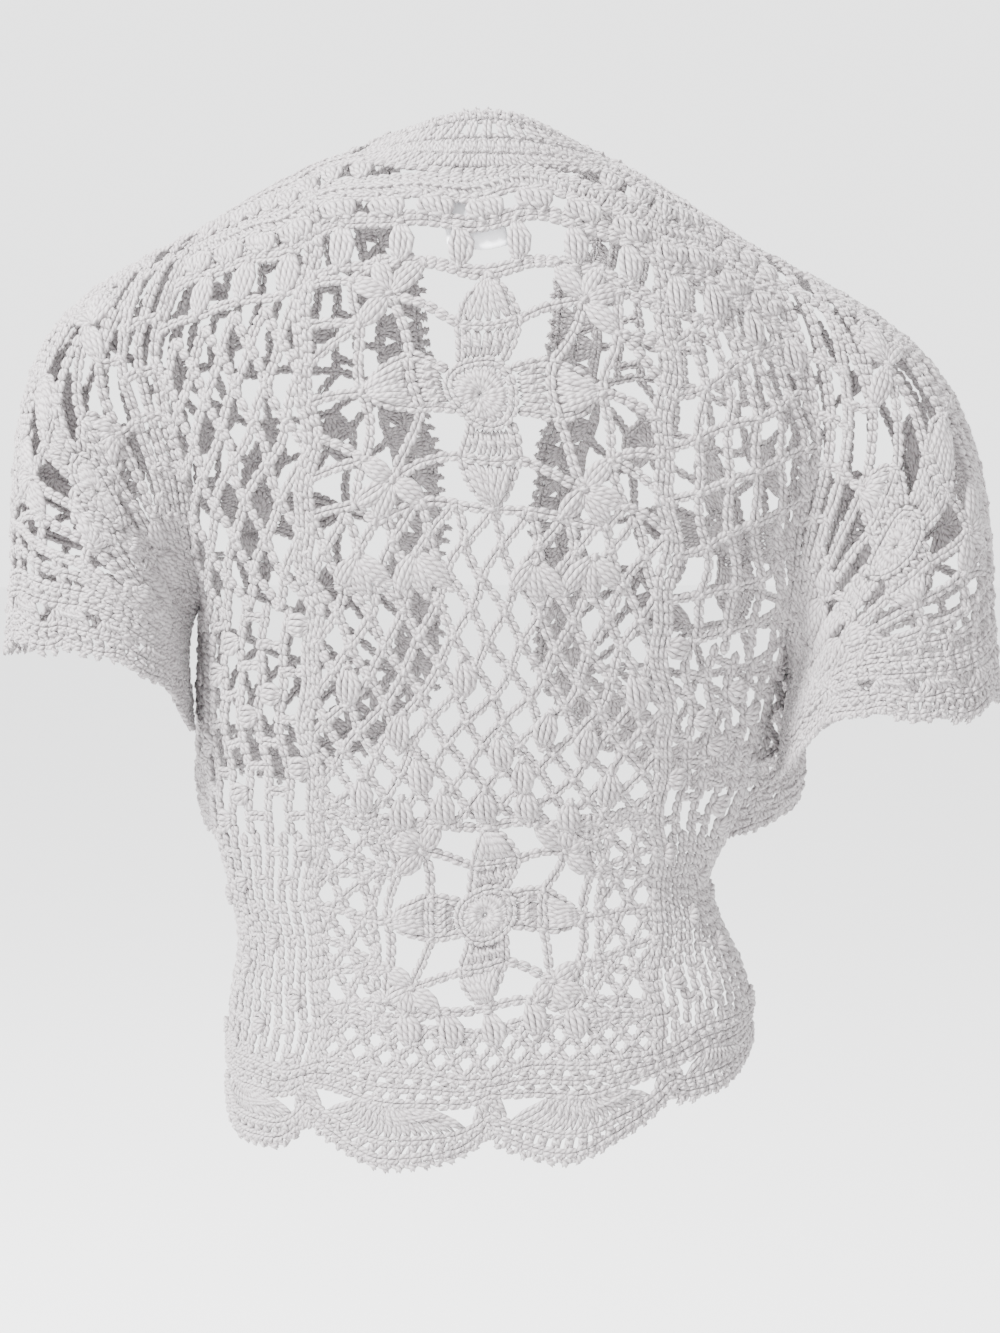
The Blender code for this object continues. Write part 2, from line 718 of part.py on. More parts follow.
def front_edge(inset):
    """Front edge and hem of a front: down, round the corner and across to the side seam."""
    low = FRONT_LENGTH - inset
    corner = FRONT_CORNER - inset
    side = FRONT_WIDTH - ARMHOLE_INSET
    edge = run((inset, SHOULDER_INSET), (inset, low - corner), 14)
    turns = np.linspace(math.pi, math.pi / 2, 10)
    edge += [(inset + corner * (1 + math.cos(turn)), low - corner * (1 - math.sin(turn))) for turn in turns]
    edge += run((inset + corner, low), (side, low), 7)[1:]
    edge.append((FRONT_WIDTH - SIDE_INSET, low))
    return [(x, t + FRONT_DIP * max(x / side, 0) ** 3) for x, t in edge]


def front_outline(surface):
    """One front in its chart, inside its border."""
    side = FRONT_WIDTH - ARMHOLE_INSET
    edge = front_edge(0.0)
    cuts, levels = armhole_chart(armhole_angles()[1:], "front")
    hole = [(side - cut, float(front_down(level))) for cut, level in zip(cuts, levels)]
    rim = [*hole[:-1], *run((edge[-1][0], hole[-1][1]), edge[-1], 6)]
    scale = FRONT_WIDTH / (HALF_BACK - NECK_HALF)
    places = [min((place - NECK_HALF) * scale, side) for place in shoulder_places()]
    shoulder = [shoulder_point(place, surface) for place in places]
    return [*edge, *rim[::-1], *shoulder[:0:-1]]


def border_outline():
    """The solid border along the front edge and hem of one front."""
    edge = front_edge(-2 * SEAM_INSET)
    folded = [(x - FOLD_CLEARANCE * max(1 - t / FOLD_END, 0), t) for x, t in edge]
    outer = front_edge(-BORDER)
    side = FRONT_WIDTH - FOLD_CLEARANCE
    return [(min(x, side), max(t, FOLD_CLEARANCE)) for x, t in [*folded, *outer[::-1]]]


def half_turn(first):
    """Where half a sleeve starts and ends round the arm, clear of the other half."""
    left = first * SLEEVE_HALF_TURN + (UNDERARM_SPLIT if first else SEAM_INSET)
    right = (first + 1) * SLEEVE_HALF_TURN - (SEAM_INSET if first else UNDERARM_SPLIT)
    return left, right


def sleeve_top(place, surface):
    """Where a sleeve starts below the armhole seam: further down where it folds under the arm."""
    fold = 0.5 - 0.5 * math.cos(math.pi * place / SLEEVE_HALF_TURN)
    inset = ARMHOLE_INSET + (UNDERARM_INSET - ARMHOLE_INSET) * fold
    return (place, inset / local_stretch(surface, (place, 1.5))[1])


def sleeve_outline(first, surface):
    """Half a sleeve, behind or in front of the arm."""
    left, right = half_turn(first)
    turns = [(first + step / HOLE_STEPS) * SLEEVE_HALF_TURN for step in range(HOLE_STEPS + 1)]
    rim = [min(max(place, left), right) for place in turns]
    return [
        *[sleeve_top(place, surface) for place in rim[:-1]],
        *run(sleeve_top(right, surface), (right, SLEEVE_LENGTH), 8),
        *run((right, SLEEVE_LENGTH), (left, SLEEVE_LENGTH), 14),
        *run((left, SLEEVE_LENGTH), sleeve_top(left, surface), 8),
    ]


def cuff_outline(first):
    """Half of a cuff edging."""
    left, right = half_turn(first)
    top = SLEEVE_LENGTH + 2 * SEAM_INSET
    low = SLEEVE_LENGTH + CUFF_LENGTH
    return [
        *run((left, top), (right, top), 14),
        *run((right, top), (right, low), 2),
        *run((right, low), (left, low), 14),
        *run((left, low), (left, top), 2),
    ]


def collar_outline():
    """The standing neck band."""
    side = NECK_HALF - 0.9 * FOLD_CLEARANCE
    low = 0.6 * FOLD_CLEARANCE
    places = np.linspace(side, -side, 19)
    crest = [(x, COLLAR_HEIGHT * (0.8 + 0.2 * math.cos(0.5 * math.pi * x / side))) for x in places]
    return [*run((-side, low), (side, low), 18), (side, low), *crest]


def moved(parts, across):
    """Chart lines or points, moved sideways."""
    return [[(x + across, t) for x, t in part] for part in parts]


def middles(leaves):
    """Where leaf stitches stand highest."""
    return [((ax + bx) / 2, (at + bt) / 2) for (ax, at), (bx, bt) in leaves]


def build():
    """All pieces of the shrug."""
    for thing in list(bpy.data.objects):
        bpy.data.objects.remove(thing, do_unlink=True)

    lines, solids, leaves = back_chart()
    outline = back_outline()
    gaps = gaps_of(lines, solids, outline, back_surface, GAPS_CUT["back"])
    raised = middles(leaves) + solids
    walled("back", cloth("back", WHITE_COTTON, 0.8), back_surface, outline, gaps, raised)
    walled("hem_edging", cloth("hem_edging", WHITE_COTTON, 0.8), back_surface, hem_outline())

    for side in ("left", "right"):
        turned = side == "left"
        lines, solids, leaves = front_chart()
        outline = front_outline(front_surface(side))
        gaps = gaps_of(lines, solids, outline, front_surface(side), GAPS_CUT["front"])
        raised = middles(leaves) + solids
        name = "front_" + side
        surface = front_surface(side)
        walled(name, cloth(name, WHITE_COTTON, 0.8), surface, outline, gaps, raised, turned=turned)
        name = "border_" + side
        walled(name, cloth(name, WHITE_COTTON, 0.8), surface, border_outline(), turned=turned)

        surface = sleeve_surface(side)
        for first, place in ((0, "back"), (1, "front")):
            across = first * SLEEVE_HALF_TURN
            lines, solids, leaves = sleeve_chart()
            outline = sleeve_outline(first, surface)
            solids = moved([solids], across)[0]
            gaps = gaps_of(moved(lines, across), solids, outline, surface, GAPS_CUT["sleeve"])
            raised = middles(moved(leaves, across)) + solids
            name = "sleeve_" + side + "_" + place
            walled(name, cloth(name, WHITE_COTTON, 0.8), surface, outline, gaps, raised, turned=turned)
            name = "cuff_" + side + "_" + place
            walled(name, cloth(name, WHITE_COTTON, 0.8), surface, cuff_outline(first), turned=turned)

    walled("neck_band", cloth("neck_band", WHITE_COTTON, 0.8), collar_surface, collar_outline())
    side = LABEL_WIDTH / 2
    corners = [(-side, 0), (side, 0), (side, LABEL_HEIGHT), (-side, LABEL_HEIGHT)]
    tag = []
    for start, end in zip(corners, corners[1:] + corners[:1]):
        tag += run(start, end, 4)
    satin = cloth("neck_label", WHITE_SATIN, 0.35)
    walled("neck_label", satin, label_surface, tag, wall=LABEL_WALL, spacing=9)


build()
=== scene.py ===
"""Crochet lace shrug: the yarn, stitch by stitch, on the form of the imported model."""

import math

import bpy
import numpy as np
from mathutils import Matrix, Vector


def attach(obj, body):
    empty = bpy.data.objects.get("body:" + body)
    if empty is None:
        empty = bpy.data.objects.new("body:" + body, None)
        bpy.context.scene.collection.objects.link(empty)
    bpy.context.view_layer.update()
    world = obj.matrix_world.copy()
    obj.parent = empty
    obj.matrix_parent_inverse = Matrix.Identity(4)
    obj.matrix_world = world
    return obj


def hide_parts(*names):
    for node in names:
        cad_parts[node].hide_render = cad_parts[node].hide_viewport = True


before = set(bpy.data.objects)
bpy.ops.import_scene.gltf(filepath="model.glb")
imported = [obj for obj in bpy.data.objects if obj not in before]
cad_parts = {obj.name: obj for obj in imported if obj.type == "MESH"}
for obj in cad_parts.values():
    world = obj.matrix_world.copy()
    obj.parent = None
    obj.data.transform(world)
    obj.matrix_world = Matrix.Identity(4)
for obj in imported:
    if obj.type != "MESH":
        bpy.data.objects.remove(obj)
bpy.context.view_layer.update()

# The view and the studio. The garment is seen from behind, from a little above the middle of its
# back, over a plain pale floor and under soft square lamps.
camera_data = bpy.data.cameras.new("view")
camera_data.sensor_fit = "HORIZONTAL"
camera_data.angle_x = math.radians(20.8)
camera = bpy.data.objects.new("view", camera_data)
bpy.context.scene.collection.objects.link(camera)
camera.location = (-0.006, 1.36, -0.125)
aim = Vector((-0.006, 0.06, -0.234)) - camera.location
camera.rotation_euler = aim.to_track_quat("-Z", "Y").to_euler()
bpy.context.scene.camera = camera

GARMENT_MIDDLE = Vector((0, 0, -0.2))


def lamp(name, place, size, power):
    """A square soft lamp that points at the middle of the garment."""
    data = bpy.data.lights.new(name, "AREA")
    data.size = size
    data.energy = power
    light = bpy.data.objects.new(name, data)
    bpy.context.scene.collection.objects.link(light)
    light.location = place
    light.rotation_euler = (GARMENT_MIDDLE - Vector(place)).to_track_quat("-Z", "Y").to_euler()


lamp("key_lamp", (1.5, 1.3, 1.5), 0.6, 440)
lamp("fill_lamp", (-1.9, 1.4, 0.4), 1.6, 14)
lamp("front_lamp", (0.4, -2.2, 0.9), 1.6, 5)


class Socket:
    """A shader value that can be added to, multiplied and so on, like a number."""

    def __init__(self, tree, link):
        self.tree = tree
        self.link = link

    def node(self, kind, settings=None, sockets=None, output=0):
        """A new node with its settings and inputs, and one of its outputs."""
        made = self.tree.nodes.new(kind)
        for name, value in (settings or {}).items():
            setattr(made, name, value)
        for name, value in (sockets or {}).items():
            if isinstance(value, Socket):
                self.tree.links.new(value.link, made.inputs[name])
            else:
                made.inputs[name].default_value = value
        return Socket(self.tree, made.outputs[output])

    def maths(self, operation, *values):
        return self.node("ShaderNodeMath", {"operation": operation}, dict(enumerate(values)))

    def __add__(self, other):
        return self.maths("ADD", self, other)

    __radd__ = __add__

    def __mul__(self, other):
        return self.maths("MULTIPLY", self, other)

    __rmul__ = __mul__

    def __sub__(self, other):
        return self.maths("SUBTRACT", self, other)

    def __rsub__(self, other):
        return self.maths("SUBTRACT", other, self)

    def sine(self):
        return self.maths("SINE", self)


def mixed(share, first, second):
    """A colour between two colours."""
    return share.node(
        "ShaderNodeMix",
        {"data_type": "RGBA"},
        {0: share, 6: first, 7: second},
        output=2,
    )


def new_material(name):
    """A material with its shader, and a socket from which its other nodes are made."""
    material = bpy.data.materials.new(name)
    material.use_nodes = True
    tree = material.node_tree
    shader = tree.nodes["Principled BSDF"]
    return material, shader, Socket(tree, shader.outputs[0])


def feed(start, shader, **inputs):
    """Link values to the shader's inputs, named with underscores."""
    for name, value in inputs.items():
        start.tree.links.new(value.link, shader.inputs[name.replace("_", " ")])


floor_material, floor_shader, start = new_material("paper_sweep")
place = start.node("ShaderNodeTexCoord", output="Object")
grain = place.node("ShaderNodeTexNoise", {}, {"Vector": place, "Scale": 3.0, "Detail": 4.0})
feed(start, floor_shader, Base_Color=mixed(grain, (0.86, 0.86, 0.865, 1), (0.88, 0.88, 0.88, 1)))
floor_shader.inputs["Roughness"].default_value = 0.9
bpy.ops.object.select_all(action="DESELECT")
bpy.ops.mesh.primitive_circle_add(vertices=64, radius=14, fill_type="NGON", location=(0, 0, -0.95))
floor = bpy.context.object
floor.name = "floor"
bpy.ops.object.transform_apply(location=True)
floor.data.materials.append(floor_material)

world = bpy.data.worlds.new("studio")
bpy.context.scene.world = world
world.use_nodes = True
world.node_tree.nodes["Background"].inputs["Color"].default_value = (0.97, 0.975, 0.98, 1)
world.node_tree.nodes["Background"].inputs["Strength"].default_value = 2.9


# The back. It is one flat piece of crochet lace in mercerised cotton: two square medallions above
# each other, nets of chains beside and between them, and a yoke of clusters under the neck. It is
# worked in one and joined to the fronts and the sleeves at their seams.
MM = 0.001

# Its measures in millimetres. Strip is half the width of the middle strip that holds the medallions,
# and the tables give its form down the middle and down both sides.
STRIP = 84.0
HALF_BACK = 184.0
BACK_LENGTH = 468.0
BACK_HEM = 513.0
NECK_HALF = 70.0
NECK_DROP = 28.0
SCALLOP = HALF_BACK / 2
CENTRE_LEAD = 0.52
SEAM_TAIL = 0.32
WAVE_TOP = 430.0
WAVE_DEPTH = 4.0
CENTRE_NAMES = ("level", "x", "y", "z")
CENTRE_ROWS = (
    (0, 0, 8, 20),
    (10, 0, 26, 16),
    (30, 0, 52, 1),
    (70, 0, 65, -39),
    (115, 0, 72, -85),
    (165, 0, 74, -135),
    (235, 0, 68, -205),
    (290, 0, 58, -259),
    (330, 0, 50, -298),
    (385, 0, 42, -352),
    (430, 0, 48, -396),
    (520, 0, 66, -484),
)
SIDE_NAMES = (
    "level", "left_x", "left_back_y", "left_front_y", "left_z",
    "right_x", "right_back_y", "right_front_y", "right_z", "turn", "fall",
)
SIDE_ROWS = (
    (0, 130, 0, 0, -17, 122, 0, 0, -27, 8, 0.6),
    (8, 131, 10, -10, -18.5, 123, 11, -11, -28.5, 10, 0.56),
    (30, 143, 25, -26, -34, 137, 28, -28, -49, 16, 0.46),
    (70, 158, 35, -38, -72, 152, 37, -40, -91, 24, 0.3),
    (115, 162, 32, -37, -110, 163, 34, -38, -134, 42, 0.18),
    (165, 157, 13, -21, -153, 160, 14, -21, -180, 68, 0.06),
    (208, 148, -2, -11, -188, 152, -1, -10, -216, 84, 0),
    (235, 143, -7, -7, -208, 147, -7, -7, -236, 88, 0),
    (290, 142, -8, -8, -259, 136, -8, -8, -277, 89, 0),
    (330, 141, -12, -12, -297, 129, -12, -12, -304, 90, 0),
    (360, 136, -13, -13, -327, 119, -13, -13, -328, 92, 0),
    (385, 130, -14, -14, -352, 111, -14, -14, -348, 92, 0),
    (410, 126, -14, -14, -377, 117, -14, -14, -368, 91, 0),
    (440, 130, -14, -14, -407, 128, -14, -14, -391, 90, 0),
    (520, 134, -14, -14, -478, 135, -14, -14, -440, 84, 0),
)
SAMPLES = np.linspace(0, 1, 33)[None, :, None]


def column(rows, names, name, at):
    """The named column of a table, read at any levels by a smooth curve through its rows."""
    levels = np.array([row[0] for row in rows], float)
    values = np.array([row[names.index(name)] for row in rows], float)
    slopes = np.gradient(values, levels)
    at = np.clip(np.asarray(at, float), levels[0], levels[-1])
    row = np.clip(np.searchsorted(levels, at, side="right") - 1, 0, len(levels) - 2)
    span = levels[row + 1] - levels[row]
    part = (at - levels[row]) / span
    first = (1 + 2 * part) * (1 - part) ** 2 * values[row]
    first += part * (1 - part) ** 2 * span * slopes[row]
    second = part**2 * (3 - 2 * part) * values[row + 1]
    second += part**2 * (part - 1) * span * slopes[row + 1]
    return first + second


def columns(rows, names, wanted, at):
    """Several named columns side by side, as points."""
    return np.stack([column(rows, names, name, at) for name in wanted], axis=-1)


def bezier(first, lead, tail, last):
    """Sampled cubic curves."""
    rest = 1 - SAMPLES
    ends = rest**3 * first[:, None] + SAMPLES**3 * last[:, None]
    return ends + 3 * rest**2 * SAMPLES * lead[:, None] + 3 * rest * SAMPLES**2 * tail[:, None]


def lengths(curves):
    """Length of each sampled curve."""
    return np.linalg.norm(np.diff(curves, axis=1), axis=2).sum(axis=1)


def along(curves, share):
    """The point of each sampled curve at the given share of its length."""
    steps = np.linalg.norm(np.diff(curves, axis=1), axis=2)
    run = np.concatenate([np.zeros((len(curves), 1)), np.cumsum(steps, axis=1)], axis=1)
    goal = np.clip(share, 0, 1) * run[:, -1]
    step = np.clip((run < goal[:, None]).sum(axis=1) - 1, 0, steps.shape[1] - 1)
    pick = np.arange(len(curves))
    part = (goal - run[pick, step]) / steps[pick, step]
    return curves[pick, step] + (curves[pick, step + 1] - curves[pick, step]) * part[:, None]


def side_line(level, side, face):
    """Points down a side line, and the way in which the cloth arrives there."""
    wanted = (side + "_x", f"{side}_{face}_y", side + "_z", "turn", "fall")
    found = columns(SIDE_ROWS, SIDE_NAMES, wanted, level)
    turn = np.radians(found[:, 3])
    sideways = -np.sin(turn) if face == "back" else np.sin(turn)
    return found[:, :3], np.stack([np.cos(turn), sideways, -found[:, 4]], axis=1)


def back_form(across, down):
    """Points of the back at places across it from the middle and down it from the shoulders."""
    points = np.zeros((len(across), 3))
    for side, chosen in (("left", across >= 0), ("right", across < 0)):
        if not chosen.any():
            continue
        centre = columns(CENTRE_ROWS, CENTRE_NAMES, ("x", "y", "z"), down[chosen])
        edge, arrival = side_line(down[chosen], side, "back")
        reach = np.linalg.norm(edge - centre, axis=1)
        lead = centre.copy()
        lead[:, 0] = CENTRE_LEAD * edge[:, 0]
        curves = bezier(centre, lead, edge - SEAM_TAIL * reach[:, None] * arrival, edge)
        curves[:, :, 0] *= 1 if side == "left" else -1
        length = lengths(curves)
        beside = np.abs(across[chosen])
        strip = STRIP / length
        outer = strip + (1 - strip) * (beside - STRIP) / (HALF_BACK - STRIP)
        points[chosen] = along(curves, np.where(beside < STRIP, beside / length, outer))
    depth = np.clip((down - WAVE_TOP) / (BACK_HEM - WAVE_TOP), 0, 1.2) ** 2
    wave = np.cos(2 * math.pi * across / SCALLOP) * np.cos(0.5 * math.pi * across / HALF_BACK)
    points[:, 1] -= WAVE_DEPTH * depth * wave
    return points


CLOTH_STEP = 2.0


class Cloth:
    """The form of one piece of cloth, read at places in millimetres across and down it."""

    def __init__(self, form, across, down, face_out=1, pull=1.0):
        self.low = np.array((across[0], down[0]), float)
        self.pull = pull
        counts = [int((high - low) / CLOTH_STEP) + 2 for low, high in (across, down)]
        lines = [low + CLOTH_STEP * np.arange(count) for low, count in zip(self.low, counts)]
        grid = np.meshgrid(*lines, indexing="ij")
        points = form(grid[0].ravel(), grid[1].ravel()).reshape(*counts, 3)
        normal = face_out * np.cross(np.gradient(points, axis=0), np.gradient(points, axis=1))
        normal /= np.maximum(np.linalg.norm(normal, axis=2), 1e-9)[:, :, None]
        self.grid = np.concatenate([points, normal], axis=2)

    def at(self, places):
        """Points of the cloth, and the ways out of it. Pull draws its rows a few millimetres out of
        line, as in any work by hand."""
        x, t = np.asarray(places, float).T
        aside = 2.4 * np.sin(2 * math.pi * t / 97 + x / 60) + 1.5 * np.sin(2 * math.pi * t / 43 + 2)
        along_it = 2.6 * np.sin(2 * math.pi * x / 98 + t / 70) + 1.3 * np.sin(2 * math.pi * x / 49 + 1)
        pulled = np.stack([x + self.pull * aside, t + self.pull * along_it], axis=1)
        spot = (pulled - self.low) / CLOTH_STEP
        spot = np.clip(spot, 0, np.array(self.grid.shape[:2]) - 1.001)
        cell = spot.astype(int)
        part = spot - cell
        x, t = cell[:, 0], cell[:, 1]
        a, b = part[:, :1], part[:, 1:]
        near = self.grid[x, t] * (1 - a) + self.grid[x + 1, t] * a
        far = self.grid[x, t + 1] * (1 - a) + self.grid[x + 1, t + 1] * a
        found = near * (1 - b) + far * b
        return found[:, :3], unit(found[:, 3:])


def unit(vectors):
    """Vectors at length one."""
    return vectors / np.maximum(np.linalg.norm(vectors, axis=-1, keepdims=True), 1e-9)


def running(points):
    """Length of a line up to each of its points."""
    return np.concatenate([[0], np.cumsum(np.linalg.norm(np.diff(points, axis=0), axis=1))])


def places_at(wanted, run, line):
    """Places on a line at the wanted lengths along it."""
    return np.stack([np.interp(wanted, run, line[:, axis]) for axis in (0, 1)], axis=1)


def spread(line, shares):
    """Places on a line at the given shares of its length."""
    line = np.asarray(line, float)
    run = running(line)
    return places_at(np.asarray(shares) * run[-1], run, line)


# The stitches. One strand of a stitch is a row for each of its points: how far along the stitch the
# point lies, and in units of the gauge how far it lies sideways and out of the cloth, and how thick
# the yarn is there. Loose is how far a strand strays by chance.
GAUGE = 1.45
LOOSE = 0.14
KNOT_LIFT = 0.2


def chain_leg(side):
    """One of the two legs of a chain stitch."""
    return (
        (-0.25, 0.0, -0.5, 0),
        (0.22, 0.82 * side, 0.1, 0.96),
        (0.75, 0.9 * side, 0.4, 0.98),
        (1.25, 0.05 * side, -0.1, 0),
    )


def post_leg(side):
    """One of the two upright strands of a post."""
    return (
        (-0.06, 0.4 * side, -0.4, 0),
        (0.1, 0.75 * side, 0.0, 0.85),
        (0.42, 0.7 * side, 0.3, 0.95),
        (0.75, 0.8 * side, 0.25, 0.9),
        (1.05, 0.3 * side, 0.0, 0),
    )


def leaf_strand(side, width, bulge):
    """One of the strands of a cluster that bows out between its two ends."""
    return (
        (-0.05, 0.1 * side, -0.3, 0),
        (0.14, 0.5 * side * width, 0.35 * bulge, 0.85),
        (0.42, side * width, bulge - 0.22 * side**2, 1.15),
        (0.72, 0.88 * side * width, 0.85 * bulge - 0.2 * side**2, 1.1),
        (0.93, 0.38 * side * width, 0.4, 0.8),
        (1.04, 0.1 * side, 0.0, 0),
    )


CHAIN = (chain_leg(1), chain_leg(-1))
WRAP = (
    (0.3, -1.5, 0.2, 0),
    (0.38, -0.8, 1.0, 0.7),
    (0.48, 0.1, 1.25, 0.8),
    (0.57, 0.9, 0.9, 0.7),
    (0.64, 1.6, 0.1, 0),
)
POST = (post_leg(-1), post_leg(1), WRAP)
LEAF = tuple(leaf_strand(side, 1.75, 1.5) for side in (-1.5, -0.5, 0.5, 1.5))
PUFF = tuple(leaf_strand(side, 2.1, 1.7) for side in (-1.5, -0.5, 0.5, 1.5))
RAY = tuple(leaf_strand(side, 1.3, 0.9) for side in (-0.5, 0.5))
KNOT = (
    ((-0.6, -0.6, 0.3, 0), (0.1, -0.55, 0.7, 0.8), (0.9, 0.55, 0.75, 0.85), (1.6, 0.7, 0.2, 0)),
    ((-0.6, 0.7, 0.1, 0), (0.1, 0.5, 0.35, 0.8), (0.9, -0.5, 0.35, 0.8), (1.6, -0.6, 0.1, 0)),
)
STRAND_SIDES = 5


class Yarn:
    """Stitches laid on a piece of cloth, joined into one mesh when the piece is finished."""

    def __init__(self, cloth, seed):
        self.cloth = cloth
        self.chance = np.random.default_rng(seed)
        self.strands = {}

    def lay(self, starts, ends, stitch, lift=0.0, size=1.0):
        """One stitch from each start to its end, following the cloth between."""
        starts = np.asarray(starts, float).reshape(-1, 2)
        ends = np.asarray(ends, float).reshape(-1, 2)
        if not len(starts):
            return
        first, first_out = self.cloth.at(starts)
        last, last_out = self.cloth.at(ends)
        middle, middle_out = self.cloth.at((starts + ends) / 2)
        run = last - first
        sag = middle - (first + last) / 2
        out = unit(first_out + last_out + middle_out)
        sideways = unit(np.cross(out, run))
        for strand in stitch:
            rows = np.array(strand)
            part = rows[None, :, 0, None]
            wander = self.chance.normal(0, LOOSE, (2, len(starts), 1, 1))
            hang = np.clip(4 * part * (1 - part), 0, 1) * sag[:, None]
            centres = first[:, None] + part * run[:, None] + hang
            beside, above = size * GAUGE * rows[None, :, 1:3, None].transpose(2, 0, 1, 3)
            centres = centres + (beside + wander[0]) * sideways[:, None]
            centres = centres + (above + lift + wander[1]) * out[:, None]
            thick = GAUGE * self.chance.normal(1, 0.05, (len(starts), 1))
            radii = np.repeat(rows[None, :, 3], len(starts), axis=0) * thick * size**0.5
            outward = np.repeat(out[:, None], len(rows), axis=1)
            self.strands.setdefault(len(rows), []).append((centres, radii, outward))

    def marks(self, line, pitch):
        """Places at an even real pitch along a line, its two ends among them."""
        line = np.asarray(line, float)
        run = running(line)
        places = places_at(np.linspace(0, run[-1], max(int(run[-1]), 2) + 1), run, line)
        points, _ = self.cloth.at(places)
        real = running(points)
        count = max(1, round(real[-1] / pitch))
        return places_at(np.linspace(0, real[-1], count + 1), real, places)

    def chain(self, line, lift=0.0, pitch=5.8):
        """A chain of loops along a line."""
        places = self.marks(line, pitch)
        self.lay(places[:-1], places[1:], CHAIN, lift)

    def posts(self, low, high, pitch=4.4):
        """A row of posts from one line up to another."""
        bases = self.marks(low, pitch)
        self.lay(bases, spread(high, np.linspace(0, 1, len(bases))), POST)

    def shells(self, low, high, pitch, count, shift=0.5, width=0.88, foot=0.5):
        """A row of shells: posts that fan out from one line up to another, with holes between them.
        Width is a shell's share of the pitch at its top, and foot the share of that at its base."""
        number = len(self.marks(low, pitch)) - 1
        fan = width * np.linspace(-0.5, 0.5, count)
        for place in np.arange(shift, number - shift + 0.01):
            tops = np.clip((place + fan) / number, 0, 1)
            bases = np.clip((place + foot * fan) / number, 0, 1)
            self.lay(spread(low, bases), spread(high, tops), POST, 0.3)

    def knots(self, places, reach=2.0, size=1.0):
        """A small firm stitch at each place where chains meet."""
        places = np.asarray(places, float).reshape(-1, 2)
        turn = self.chance.uniform(0, 2 * math.pi, len(places))
        step = reach / 2 * np.stack([np.cos(turn), np.sin(turn)], axis=1)
        self.lay(places - step, places + step, KNOT, KNOT_LIFT, size)

    def skin(self):
        """All strands as closed spindles: their points, triangles, map round and along the yarn, and
        a shade for each strand."""
        vertices, triangles, maps, shades = [], [], [], []
        count = 0
        angles = 2 * math.pi * np.arange(STRAND_SIDES) / STRAND_SIDES
        for rings, parts in self.strands.items():
            centres = np.concatenate([part[0] for part in parts])
            radii = np.concatenate([part[1] for part in parts])
            out = np.concatenate([part[2] for part in parts])
            tangent = unit(np.gradient(centres, axis=1))
            beside = unit(np.cross(out, tangent))
            above = np.cross(tangent, beside)
            inner = slice(1, rings - 1)
            ring = beside[:, inner, None] * np.cos(angles)[:, None]
            ring = ring + above[:, inner, None] * np.sin(angles)[:, None]
            ring = centres[:, inner, None] + radii[:, inner, None, None] * ring
            strands, turns = ring.shape[:2]
            points = np.concatenate([ring.reshape(strands, -1, 3), centres[:, [0, -1]]], axis=1)
            length = np.linalg.norm(centres[:, -1] - centres[:, 0], axis=1)
            pattern, spots = strand_faces(turns)
            offset = count + points.shape[1] * np.arange(strands)
            triangles.append((pattern[None] + offset[:, None, None]).reshape(-1, 3))
            spots = np.repeat(spots[None], strands, axis=0)
            spots[..., 1] *= length[:, None, None] * MM
            maps.append(spots.reshape(-1, 2))
            shades.append(np.repeat(self.chance.uniform(0, 1, strands), points.shape[1]))
            vertices.append(points.reshape(-1, 3))
            count += strands * points.shape[1]
        return [np.concatenate(found) for found in (vertices, triangles, maps, shades)]

    def finish(self, name, material):
        """The piece with the mesh of all strands."""
        vertices, triangles, maps, shades = self.skin()
        vertices *= MM
        data = bpy.data.meshes.new(name)
        data.vertices.add(len(vertices))
        data.vertices.foreach_set("co", vertices.ravel())
        data.loops.add(triangles.size)
        data.loops.foreach_set("vertex_index", triangles.ravel())
        data.polygons.add(len(triangles))
        data.polygons.foreach_set("loop_start", 3 * np.arange(len(triangles)))
        data.update(calc_edges=True)
        data.uv_layers.new(name="yarn").data.foreach_set("uv", maps.ravel())
        data.attributes.new("shade", "FLOAT", "POINT").data.foreach_set("value", shades)
        data.shade_smooth()
        data.materials.append(material)
        piece = bpy.data.objects.new(name, data)
        bpy.context.scene.collection.objects.link(piece)
        return piece


def strand_faces(turns):
    """Triangles of one strand of rings with a pole at each end, and their places on the map."""
    faces, spots = [], []
    first_pole = turns * STRAND_SIDES
    last_pole = first_pole + 1
    heights = (np.arange(turns) + 1) / (turns + 1)
    for side in range(STRAND_SIDES):
        after = (side + 1) % STRAND_SIDES
        left, right = side / STRAND_SIDES, (side + 1) / STRAND_SIDES
        faces.append((first_pole, after, side))
        spots.append(((left, 0), (right, heights[0]), (left, heights[0])))
        for turn in range(turns - 1):
            a = turn * STRAND_SIDES + side
            b = turn * STRAND_SIDES + after
            c, d = b + STRAND_SIDES, a + STRAND_SIDES
            low, high = heights[turn], heights[turn + 1]
            faces += [(a, b, c), (a, c, d)]
            spots.append(((left, low), (right, low), (right, high)))
            spots.append(((left, low), (right, high), (left, high)))
        a = (turns - 1) * STRAND_SIDES
        faces.append((a + side, a + after, last_pole))
        spots.append(((left, heights[-1]), (right, heights[-1]), (left, 1)))
    return np.array(faces), np.array(spots, float)


PLIES = 2
PLY_PITCH = 0.003


